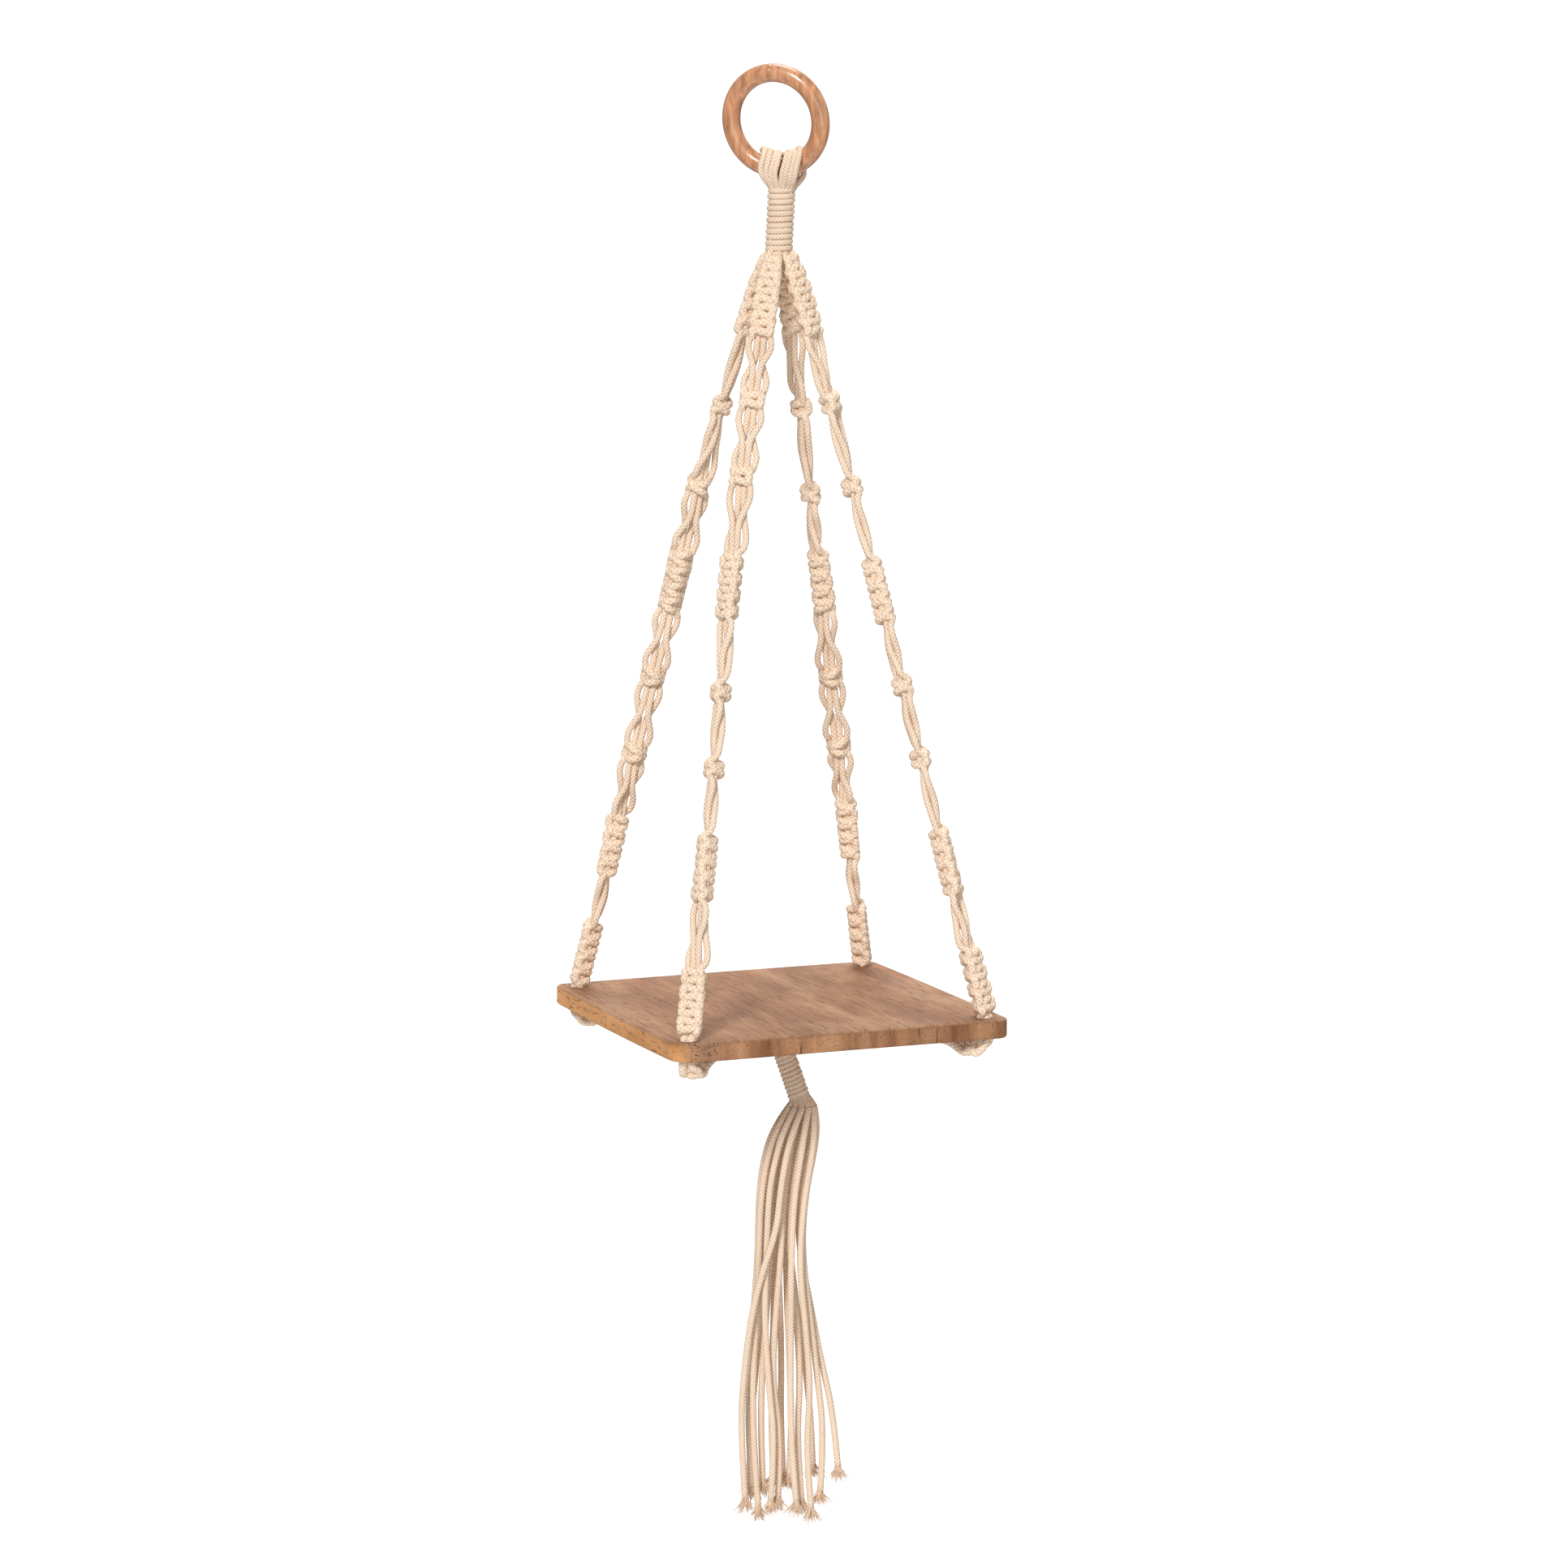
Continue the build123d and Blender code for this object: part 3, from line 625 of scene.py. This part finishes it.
def frayed_material():
    """The loose fibres at a cut end: the same cotton with no braid."""
    colours = bpy.context.scene.planter_colours
    material, tree, shader = new_material("frayed_cotton")
    coordinates = add(tree, "ShaderNodeTexCoord")
    noise = add(tree, "ShaderNodeTexNoise", Scale=900.0, Detail=2.0)
    tree.links.new(coordinates.outputs["Object"], noise.inputs["Vector"])
    light = maths(tree, "MULTIPLY_ADD", noise.outputs[0], 1.2, 0.0)
    base = blend_colours(tree, light, tuple(colours.cotton_painted_shade_and_dark_tone), tuple(colours.cotton))
    tree.links.new(base, shader.inputs["Base Color"])
    shader.inputs["Roughness"].default_value = 0.9
    shader.inputs["Specular IOR Level"].default_value = 0.1
    return material


def board_material():
    """Oiled hardwood with its grain along Y. The sawn sides show orange sapwood on the left, and pores and
    fine cracks on the end grain at the front, with a small open shake near its left corner."""
    colours = bpy.context.scene.planter_colours
    material, tree, shader = new_material("oiled_board_wood")
    coordinates = add(tree, "ShaderNodeTexCoord")
    split = add(tree, "ShaderNodeSeparateXYZ")
    tree.links.new(coordinates.outputs["Object"], split.inputs[0])
    at_x, at_y, at_z = split.outputs

    def grain(scale, detail=4.0, distortion=0.0):
        mapping = add(tree, "ShaderNodeMapping")
        mapping.inputs["Scale"].default_value = scale
        mapping.inputs["Rotation"].default_value = (0.03, 0.0, 0.06)
        tree.links.new(coordinates.outputs["Object"], mapping.inputs["Vector"])
        noise = add(tree, "ShaderNodeTexNoise", Scale=1.0, Detail=detail, Distortion=distortion)
        tree.links.new(mapping.outputs[0], noise.inputs["Vector"])
        return noise.outputs[0]

    def ramp(value, low, high):
        """0 below low and 1 above high."""
        node = add(tree, "ShaderNodeMapRange")
        node.inputs["From Min"].default_value = low
        node.inputs["From Max"].default_value = high
        tree.links.new(value, node.inputs["Value"])
        return node.outputs[0]

    left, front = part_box("board")[0].x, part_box("board")[0].y
    below_top = ramp(at_z, BOARD_TOP * MM - 0.0008, BOARD_TOP * MM - 0.0024)
    left_side = maths(tree, "MULTIPLY", below_top, ramp(at_x, left + 0.016, left + 0.006))
    front_side = maths(tree, "MULTIPLY", below_top, ramp(at_y, front + 0.012, front + 0.005))

    streaks = grain((95, 7, 60), 5.0, 0.5)
    fine = grain((520, 26, 400), 3.0, 0.2)
    patches = grain((16, 9, 20), 3.0, 0.8)
    tone = maths(tree, "MULTIPLY_ADD", streaks, 0.5, maths(tree, "MULTIPLY", fine, 0.35))
    tone = maths(tree, "MULTIPLY_ADD", patches, 0.45, tone)
    base = blend_colours(tree, ramp(tone, 0.45, 0.85), tuple(colours.board_dark), tuple(colours.board))
    pale = blend_colours(tree, ramp(patches, 0.52, 0.72), base, (0.50, 0.315, 0.195))
    top = blend_colours(tree, 0.5, base, pale)
    pores = ramp(grain((900, 55, 700), 2.0), 0.60, 0.66)
    top = blend_colours(tree, maths(tree, "MULTIPLY", pores, 0.55), top, (0.13, 0.065, 0.038))
    knots = ramp(grain((30, 14, 30), 2.0, 1.5), 0.72, 0.8)
    top = blend_colours(tree, maths(tree, "MULTIPLY", knots, 0.5), top, (0.20, 0.085, 0.04))

    side_tone = maths(tree, "MULTIPLY_ADD", streaks, 0.6, maths(tree, "MULTIPLY", patches, 0.5))
    sapwood = blend_colours(tree, ramp(side_tone, 0.4, 0.75), (0.45, 0.19, 0.07), (0.85, 0.45, 0.20))
    dashes = ramp(grain((900, 130, 420), 2.0), 0.60, 0.66)
    sapwood = blend_colours(tree, maths(tree, "MULTIPLY", dashes, 0.7), sapwood, (0.20, 0.09, 0.04))
    bands = grain((60, 40, 6), 4.0, 0.3)
    end_grain = blend_colours(tree, ramp(bands, 0.35, 0.68), (0.20, 0.083, 0.038), (0.50, 0.26, 0.135))
    dots = ramp(grain((800, 800, 620), 1.0), 0.60, 0.68)
    end_grain = blend_colours(tree, maths(tree, "MULTIPLY", dots, 0.6), end_grain, (0.15, 0.07, 0.035))
    checks = ramp(grain((240, 60, 16), 2.0, 1.0), 0.67, 0.70)
    end_grain = blend_colours(tree, maths(tree, "MULTIPLY", checks, 0.8), end_grain, (0.06, 0.03, 0.02))

    wood = blend_colours(tree, front_side, top, end_grain)
    wood = blend_colours(tree, left_side, wood, sapwood)
    shake = add(tree, "ShaderNodeVectorMath", operation="DISTANCE")
    shake.inputs[1].default_value = (left + 0.022, front + 0.001, BOARD_TOP * MM - 0.004)
    tree.links.new(coordinates.outputs["Object"], shake.inputs[0])
    near_shake = ramp(shake.outputs["Value"], 0.017, 0.007)
    wander = maths(tree, "ABSOLUTE", maths(tree, "SUBTRACT", grain((95, 60, 150), 2.0, 1.2), 0.5))
    cracks = maths(tree, "MULTIPLY", ramp(wander, 0.016, 0.007), near_shake)
    arris = maths(tree, "MULTIPLY", ramp(at_z, BOARD_TOP * MM - 0.0026, BOARD_TOP * MM - 0.0012), front_side)
    wood = blend_colours(tree, maths(tree, "MULTIPLY", arris, 0.5), wood, (0.12, 0.06, 0.035))
    wood = blend_colours(tree, maths(tree, "MULTIPLY", near_shake, 0.4), wood, (0.32, 0.20, 0.125))
    wood = blend_colours(tree, maths(tree, "MULTIPLY", cracks, 0.9), wood, (0.035, 0.022, 0.018))
    tree.links.new(wood, shader.inputs["Base Color"])
    tree.links.new(maths(tree, "MULTIPLY_ADD", streaks, 0.25, 0.55), shader.inputs["Roughness"])
    shader.inputs["Specular IOR Level"].default_value = 0.1
    bump = add(tree, "ShaderNodeBump", Strength=0.7, Distance=0.0005)
    height = maths(tree, "SUBTRACT", maths(tree, "ADD", streaks, fine), maths(tree, "MULTIPLY", pores, 0.8))
    tree.links.new(height, bump.inputs["Height"])
    tree.links.new(bump.outputs[0], shader.inputs["Normal"])
    return material


def ring_material():
    """Turned wood under a glossy red-brown lacquer, with its grain straight across the ring."""
    colours = bpy.context.scene.planter_colours
    material, tree, shader = new_material("lacquered_ring_wood")
    coordinates = add(tree, "ShaderNodeTexCoord")
    mapping = add(tree, "ShaderNodeMapping")
    mapping.inputs["Scale"].default_value = (260.0, 260.0, 30.0)
    mapping.inputs["Rotation"].default_value = (0.5, 0.35, 0.0)
    tree.links.new(coordinates.outputs["Object"], mapping.inputs["Vector"])
    noise = add(tree, "ShaderNodeTexNoise", Scale=1.0, Detail=4.0, Distortion=0.5)
    tree.links.new(mapping.outputs[0], noise.inputs["Vector"])
    dark = tuple(RING_GRAIN_DARK * c for c in colours.ring)
    tone = maths(tree, "MULTIPLY_ADD", noise.outputs[0], 2.4, -0.62)
    base = blend_colours(tree, tone, dark, tuple(colours.ring))
    tree.links.new(base, shader.inputs["Base Color"])
    shader.inputs["Roughness"].default_value = 0.32
    shader.inputs["Coat Weight"].default_value = 0.5
    shader.inputs["Coat Roughness"].default_value = 0.12
    bump = add(tree, "ShaderNodeBump", Strength=0.15, Distance=0.0003)
    tree.links.new(noise.outputs[0], bump.inputs["Height"])
    tree.links.new(bump.outputs[0], shader.inputs["Normal"])
    return material


def material_of(name, make):
    return bpy.data.materials.get(name) or make()


def cotton():
    return material_of("braided_cotton", lambda: cotton_material("braided_cotton"))


def cotton_wrapping():
    return material_of("braided_wrapping", lambda: cotton_material("braided_wrapping", 1.02))


# ---------------------------------------------------------------- modelling helpers
def deselect_all():
    for thing in bpy.context.selected_objects:
        thing.select_set(False)


def select_edges(piece, wanted):
    """Selects, in edit mode, only the edges whose two ends pass a test."""
    bpy.ops.mesh.select_mode(type="EDGE")
    bpy.ops.mesh.select_all(action="DESELECT")
    shape = bmesh.from_edit_mesh(piece.data)
    for edge in shape.edges:
        edge.select_set(wanted(*(vertex.co for vertex in edge.verts)))
    bmesh.update_edit_mesh(piece.data)


def settle(piece):
    """Leaves a finished piece at the origin, unturned, with its place in its mesh."""
    deselect_all()
    piece.select_set(True)
    bpy.context.view_layer.objects.active = piece
    bpy.ops.object.transform_apply(location=True, rotation=True, scale=True)


# ---------------------------------------------------------------- operators
class PLANTER_OT_ring(bpy.types.Operator):
    """Turn the wooden ring"""

    bl_idname = "planter.ring"
    bl_label = "Wooden ring"

    def execute(self, context):
        deselect_all()
        lean = math.radians(RING_LEAN)
        up = around(RING_FACING) * math.sin(lean) + np.array([0, 0, math.cos(lean)])
        facing = around(RING_FACING) * math.cos(lean) - np.array([0, 0, math.sin(lean)])
        bpy.ops.mesh.primitive_torus_add(
            major_segments=160, minor_segments=32, major_radius=RING_R * MM, minor_radius=RING_BAR * MM
        )
        ring = context.active_object
        ring.name = "wooden_ring"
        bpy.ops.object.mode_set(mode="EDIT")
        bpy.ops.mesh.select_all(action="SELECT")
        bpy.ops.transform.resize(value=(1, 1, RING_FLATNESS))
        select_edges(ring, lambda a, b: min(a.y, b.y) > 0 and max(abs(a.x), abs(b.x)) < GLUE_LINE * MM / 8)
        bpy.ops.mesh.bevel(offset=GLUE_LINE / 2 * MM, segments=2)
        select_edges(ring, lambda a, b: min(a.y, b.y) > 0 and max(abs(a.x), abs(b.x)) < GLUE_LINE * MM / 8)
        bpy.ops.transform.shrink_fatten(value=-GLUE_DEPTH * MM)
        bpy.ops.object.mode_set(mode="OBJECT")
        ring.rotation_euler = Vector(facing).to_track_quat("Z", "Y").to_euler()
        ring.location = (RING_LOW + up * RING_R) * MM
        settle(ring)
        bpy.ops.object.shade_smooth()
        ring.data.materials.append(material_of("lacquered_ring_wood", ring_material))
        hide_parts("hanging_ring")
        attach(ring, "ring")
        return {"FINISHED"}


class PLANTER_OT_board(bpy.types.Operator):
    """Finish the board with oiled wood"""

    bl_idname = "planter.board"
    bl_label = "Wooden board"

    def execute(self, context):
        for slot in frame["nodes"]["board"].material_slots:
            slot.material = material_of("oiled_board_wood", board_material)
        return {"FINISHED"}


class PLANTER_OT_loops(bpy.types.Operator):
    """Fold the eight cords over the ring"""

    bl_idname = "planter.loops"
    bl_label = "Loops over the ring"

    def execute(self, context):
        cord = context.scene.planter_sizes.cord_diameter / MM
        facing, tangent = around(RING_FACING), around(RING_FACING + 90)
        dice = random.Random("loops")
        for number in range(LOOPS):
            share = number - (LOOPS - 1) / 2
            lane = share * LOOP_PITCH + dice.gauss(0, 0.45)
            over = LOOP_RISE if number % 2 else 0.0  # every other cord rides up on its neighbours
            rise = RING_R - math.sqrt(RING_R**2 - lane**2)
            reach = RING_BAR + cord * 0.56 + over + LOOP_ROOM * abs(share)
            foot = share * FOOT_PITCH
            depth = math.sqrt(FOOT_R**2 - foot**2) * (1.0 if number % 2 else 0.8)
            route = [
                (foot * 0.6, depth * 0.6, -34),
                (foot * 0.7, depth * 0.65, -20),
                (foot, depth * 0.86, -13.0),
                (lane * 0.8 + foot * 0.2, reach, -7.0 + rise * 0.5),
                (lane * 1.02, reach * 1.16, rise - 1.5),
            ]
            for angle in (26, 52, 78):
                turn = math.radians(angle)
                tilt = lane + (angle - 90) * -0.012 * LOOP_SLANT
                route.append((tilt, reach * 1.12 * math.cos(turn), rise + reach * 1.09 * math.sin(turn)))
            behind = []
            for wide, out, z in route[::-1]:
                crossed = 2 * lane - wide if z > -6 else wide
                behind.append((crossed - LOOP_BACK * min(max((z + 12) / 8, 0.0), 1.0), -out, z))
            points = []
            for wide, out, z in route + behind:
                shift = NECK_LEAN + (LOOP_SHIFT - NECK_LEAN) * min(max((z + 16) / 14, 0.0), 1.0)
                points.append(RING_LOW + tangent * (wide + shift) + facing * out + np.array([0, 0, z]))
            line = evenly(smooth_line(points), 0.9)
            piece = mesh_piece(f"ring_loop_{number + 1}", [tube_mesh(line, LOOP_CORD / 2, 14)], cotton())
            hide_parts("ring_loops")
            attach(piece, "hanger")
        return {"FINISHED"}


def wrap_line(start, along, radius, turns, long, cord, seed):
    """A helix of cord round a straight axis, with turns that lie a little unevenly."""
    dice = random.Random(seed)
    along = unit(along)
    side = unit(np.cross(along, (0.3, 0.9, 0.1)))
    other = np.cross(along, side)
    steps = 28
    points = []
    wobble = [dice.gauss(0, 0.18) for _ in range(turns + 2)]
    for i in range(turns * steps + 1):
        turn = i / steps
        angle = 2 * math.pi * turn
        at = cord / 2 + (long - cord) * turn / turns
        at += float(np.interp(turn, range(turns + 2), wobble))
        reach = radius + 0.15 * math.sin(3.1 * turn + seed)
        points.append(start + along * at + (side * math.cos(angle) + other * math.sin(angle)) * reach)
    return np.array(points)


class PLANTER_OT_neck_wrap(bpy.types.Operator):
    """Wrap the neck"""

    bl_idname = "planter.neck_wrap"
    bl_label = "Neck wrap"

    def execute(self, context):
        sizes = context.scene.planter_sizes
        top = np.array([AXIS_X, AXIS_Y, NECK_TOP + 1.0])
        top[:2] += around(RING_FACING + 90)[:2] * NECK_LEAN
        down = np.array([AXIS_X, AXIS_Y, NECK_BOTTOM]) - top
        long = NECK_TOP - NECK_BOTTOM + 1
        line = wrap_line(top, down, NECK_R - WRAP_CORD / 2, sizes.neck_turns, long, WRAP_CORD, 3)
        core = np.array([top, [AXIS_X, AXIS_Y, NECK_BOTTOM + 1]])
        parts = [tube_mesh(line, WRAP_CORD / 2, 14), tube_mesh(evenly(core, 4), NECK_CORE_R, 24)]
        piece = mesh_piece("neck_wrap_cord", parts, cotton_wrapping())
        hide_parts("neck_wrap", "neck_strands")
        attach(piece, "hanger")
        return {"FINISHED"}


class PLANTER_OT_arms(bpy.types.Operator):
    """Knot the four arms"""

    bl_idname = "planter.arms"
    bl_label = "Knotted arms"

    def execute(self, context):
        cord = context.scene.planter_sizes.cord_diameter / MM
        knotted = ("top_sennit", "upper_single_knots", "upper_sennit", "lower_single_knots")
        knotted += ("middle_sennit", "lower_sennit", "span_strands")
        for name in ARMS:
            arm = Arm(name)
            for strand, points in enumerate(arm_strands(arm, cord)):
                foot = neck_feet(arm, strand)
                above = [foot + np.array([0, 0, NECK_BOTTOM + up]) for up in (14, 5)]
                below = under_board(arm, strand, cord)
                line = evenly(smooth_line(above + points + below), 1.0)
                plump = [arm.plumpness(point) * cord / 2 for point in line]
                piece = mesh_piece(f"{name}_strand_{strand + 1}", [tube_mesh(line, plump, 12)], cotton())
                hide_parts(*(f"{name}_{row}" for row in knotted))
                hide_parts("hole_strands", "under_knots", "underside_strands")
                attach(piece, "hanger")
        return {"FINISHED"}


def leaning():
    """The tassel wrap's axis: its start and its direction."""
    return WRAP_PIVOT, unit(TASSEL_BEND - WRAP_PIVOT)


def packed(number, count, radius):
    """Places of strands squeezed together, in a sunflower pattern."""
    reach = radius * math.sqrt((number + 0.5) / count)
    return reach * np.array([math.cos(2.4 * number), math.sin(2.4 * number)])


class PLANTER_OT_tassel_wrap(bpy.types.Operator):
    """Gather the strands under the board and wrap them"""

    bl_idname = "planter.tassel_wrap"
    bl_label = "Tassel wrap"

    def execute(self, context):
        sizes = context.scene.planter_sizes
        cord = sizes.cord_diameter / MM
        pivot, way = leaning()
        start, end = TASSEL_WRAPPED
        thick = TASSEL_WRAP_CORD / 2
        line = wrap_line(
            pivot + way * start, way, TASSEL_WRAP_R - thick, sizes.tassel_turns, end - start, 2 * thick, 5
        )
        core = np.array([pivot + way * (start + 1), pivot + way * (end - 1)])
        parts = [tube_mesh(line, thick, 14), tube_mesh(evenly(core, 4), TASSEL_CORE_R, 20)]
        piece = mesh_piece("tassel_wrap_cord", parts, cotton_wrapping())
        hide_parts("tassel_wrap")
        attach(piece, "tassel_wrap")

        side = unit(np.cross(way, (0, 1, 0)))
        other = np.cross(way, side)
        tubes = []
        number = 0
        for name in ARMS:
            arm = Arm(name)
            outward = unit((*(arm.end - pivot)[:2], 0))
            sideways = np.cross(outward, (0, 0, 1))
            for lane in (-1.5, -0.5, 0.5, 1.5):
                x, y = packed(number, 16, 5.0)
                number += 1
                floor = np.array([pivot[0], pivot[1], BOARD_BOTTOM])
                down = np.array([0, 0, -cord])
                route = [
                    floor + outward * 15 + sideways * lane * cord * 0.93 + down * 0.55,
                    floor + outward * 11 + sideways * lane * cord * 0.85 + down * 0.6,
                    floor + outward * (6.6 + abs(lane)) + sideways * lane * 3.0 + down * 1.1,
                    pivot + way * 1.5 + side * x * 1.15 + other * y * 1.15,
                    pivot + way * 9 + side * x + other * y,
                    pivot + way * 14 + side * x + other * y,
                ]
                tubes.append(tube_mesh(evenly(smooth_line(route), 1.0), cord / 2 * 0.92, 12))
        piece = mesh_piece("gathered_strands_bend", tubes, cotton())
        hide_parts("gathered_strands", "tassel_core")
        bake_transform(piece)
        return {"FINISHED"}


def hung(route):
    """A tassel route, from its own axes to the row frame, in mm."""
    pivot, way = leaning()
    mouth = pivot + way * TASSEL_MOUTH
    side, back = around(TASSEL_TURN), around(TASSEL_TURN + 90)
    return [mouth + side * x + back * y - np.array([0, 0, drop]) for x, y, drop in route]


def frayed_end(name, line, cord, fibres):
    """The cut end of a cord, opened into a little brush of loose fibres."""
    dice = random.Random(name)
    end, down = line[-1], unit(line[-1] - line[-3])
    side = unit(np.cross(down, (0.2, 1, 0.3)))
    other = np.cross(down, side)
    parts = []
    for _ in range(fibres):
        angle, reach = dice.uniform(0, 2 * math.pi), cord / 2 * math.sqrt(dice.random()) * 0.92
        out = side * math.cos(angle) + other * math.sin(angle)
        long = dice.uniform(5.5, 12.0)
        flare = dice.uniform(0.0, 1.0) * (0.4 + reach / cord)
        bend = side * dice.gauss(0, 0.9) + other * dice.gauss(0, 0.9)
        route = [
            end - down * 1.5 + out * reach * 0.8,
            end + down * 0.5 + out * reach,
            end + down * long * 0.5 + out * (reach + long * flare * 0.35) + bend * 0.3,
            end + down * long * (1 - 0.25 * flare) + out * (reach + long * flare) + bend,
        ]
        parts.append(fibre(route))
    return mesh_piece(name, parts, material_of("frayed_cotton", frayed_material))


def fibre(route):
    """One loose fibre, thinner towards its tip."""
    line = evenly(smooth_line(route, 3), 1.8)
    return tube_mesh(line, np.linspace(0.34, 0.2, len(line)), 4)


class PLANTER_OT_tassel(bpy.types.Operator):
    """Hang the sixteen loose strands"""

    bl_idname = "planter.tassel"
    bl_label = "Tassel"

    def execute(self, context):
        sizes = context.scene.planter_sizes
        cord = sizes.cord_diameter / MM
        pivot, way = leaning()
        side = unit(np.cross(way, (0, 1, 0)))
        other = np.cross(way, side)
        roots = []
        for number, (name, route) in enumerate(TASSEL_ROUTES.items()):
            points = hung(route)
            line = smooth_line(points, 18)
            strand = mesh_piece(f"{name}_cord", [tube_mesh(line, cord / 2, 14)], cotton())
            tip = frayed_end(f"{name}_frayed_end", line, cord, sizes.fibres)
            for piece in (strand, tip):
                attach(piece, "tassel")
            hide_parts(name)
            offset = points[0] - (pivot + way * TASSEL_MOUTH)
            x, y = np.dot(offset, side), np.dot(offset, other)
            squeeze = min(ROOT_SQUEEZE, ROOT_R / math.hypot(x, y))
            inside, lower, lowest = ROOT_PLACES
            route = [
                pivot + way * inside + (side * x + other * y) * squeeze,
                pivot + way * lower + (side * x + other * y) * squeeze,
                pivot + way * lowest + (side * x + other * y) * (squeeze + ROOT_SPREAD),
                points[0],
                points[0] + unit(line[3] - line[0]) * 4,
            ]
            roots.append(tube_mesh(evenly(smooth_line(route), 1.0), cord / 2 * 0.97, 14))
        piece = mesh_piece("tassel_roots", roots, cotton())
        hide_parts("tassel_core")
        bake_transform(piece)
        return {"FINISHED"}


class PLANTER_OT_stage(bpy.types.Operator):
    """Set the floor, the lights and the camera"""

    bl_idname = "planter.stage"
    bl_label = "Stage"

    def execute(self, context):
        deselect_all()
        azimuth, elevation = math.radians(CAMERA_AZIMUTH), math.radians(CAMERA_ELEVATION)
        right = Vector((math.cos(azimuth), math.sin(azimuth), 0))
        level = Vector((math.sin(azimuth), -math.cos(azimuth), 0))
        back = level * math.cos(elevation) + Vector((0, 0, math.sin(elevation)))
        target = Vector((AXIS_X, AXIS_Y, BOARD_TOP + LOOK_ABOVE)) * MM + right * LOOK_RIGHT * MM
        camera_data = bpy.data.cameras.new("camera")
        camera_data.lens = LENS
        camera_data.sensor_width = SENSOR
        camera = bpy.data.objects.new("camera", camera_data)
        camera.location = target + back * CAMERA_DISTANCE
        camera.rotation_euler = back.to_track_quat("Z", "Y").to_euler()
        context.scene.collection.objects.link(camera)
        context.scene.camera = camera

        bpy.ops.mesh.primitive_plane_add(size=FLOOR_SIZE, location=(0, 0, FLOOR_HEIGHT))
        floor = context.active_object
        floor.name = "floor"
        material, _, shader = new_material("pale_floor")
        shader.inputs["Base Color"].default_value = (0.95, 0.95, 0.95, 1)
        shader.inputs["Roughness"].default_value = 1.0
        floor.data.materials.append(material)

        world = bpy.data.worlds.new("studio")
        world.use_nodes = True
        background = world.node_tree.nodes["Background"]
        background.inputs["Color"].default_value = (1, 1, 1, 1)
        tree = world.node_tree
        seen = add(tree, "ShaderNodeLightPath").outputs["Is Camera Ray"]
        strength = maths(tree, "MULTIPLY_ADD", seen, WALL_SEEN - WALL_LIGHT, WALL_LIGHT)
        tree.links.new(strength, background.inputs["Strength"])
        context.scene.world = world
        context.scene.view_settings.view_transform = "Standard"
        for name, place, power, softness in LIGHTS:
            data = bpy.data.lights.new(name, "SUN")
            data.energy = power
            data.angle = math.radians(softness)
            lamp = bpy.data.objects.new(name, data)
            lamp.rotation_euler = Vector(place).to_track_quat("Z", "Y").to_euler()
            context.scene.collection.objects.link(lamp)
        return {"FINISHED"}


class PLANTER_PT_panel(bpy.types.Panel):
    """The planter's pieces, in the order in which they are made"""

    bl_idname = "PLANTER_PT_panel"
    bl_label = "Macrame planter"
    bl_space_type = "VIEW_3D"
    bl_region_type = "UI"
    bl_category = "Planter"

    def draw(self, context):
        layout = self.layout
        for settings in (context.scene.planter_sizes, context.scene.planter_colours):
            for key in settings.__annotations__:
                layout.prop(settings, key)
        for operator in OPERATORS:
            layout.operator(operator.bl_idname)


OPERATORS = (
    PLANTER_OT_ring,
    PLANTER_OT_board,
    PLANTER_OT_loops,
    PLANTER_OT_neck_wrap,
    PLANTER_OT_arms,
    PLANTER_OT_tassel_wrap,
    PLANTER_OT_tassel,
    PLANTER_OT_stage,
)
CLASSES = (PlanterSizes, PlanterColours, *OPERATORS, PLANTER_PT_panel)


def register():
    for cls in CLASSES:
        bpy.utils.register_class(cls)
    bpy.types.Scene.planter_sizes = PointerProperty(type=PlanterSizes)
    bpy.types.Scene.planter_colours = PointerProperty(type=PlanterColours)


def unregister():
    del bpy.types.Scene.planter_colours
    del bpy.types.Scene.planter_sizes
    for cls in reversed(CLASSES):
        bpy.utils.unregister_class(cls)


def main():
    register()
    bpy.ops.planter.ring()
    bpy.ops.planter.board()
    bpy.ops.planter.loops()
    bpy.ops.planter.neck_wrap()
    bpy.ops.planter.arms()
    bpy.ops.planter.tassel_wrap()
    bpy.ops.planter.tassel()
    bpy.ops.planter.stage()


if __name__ == "__main__":
    main()
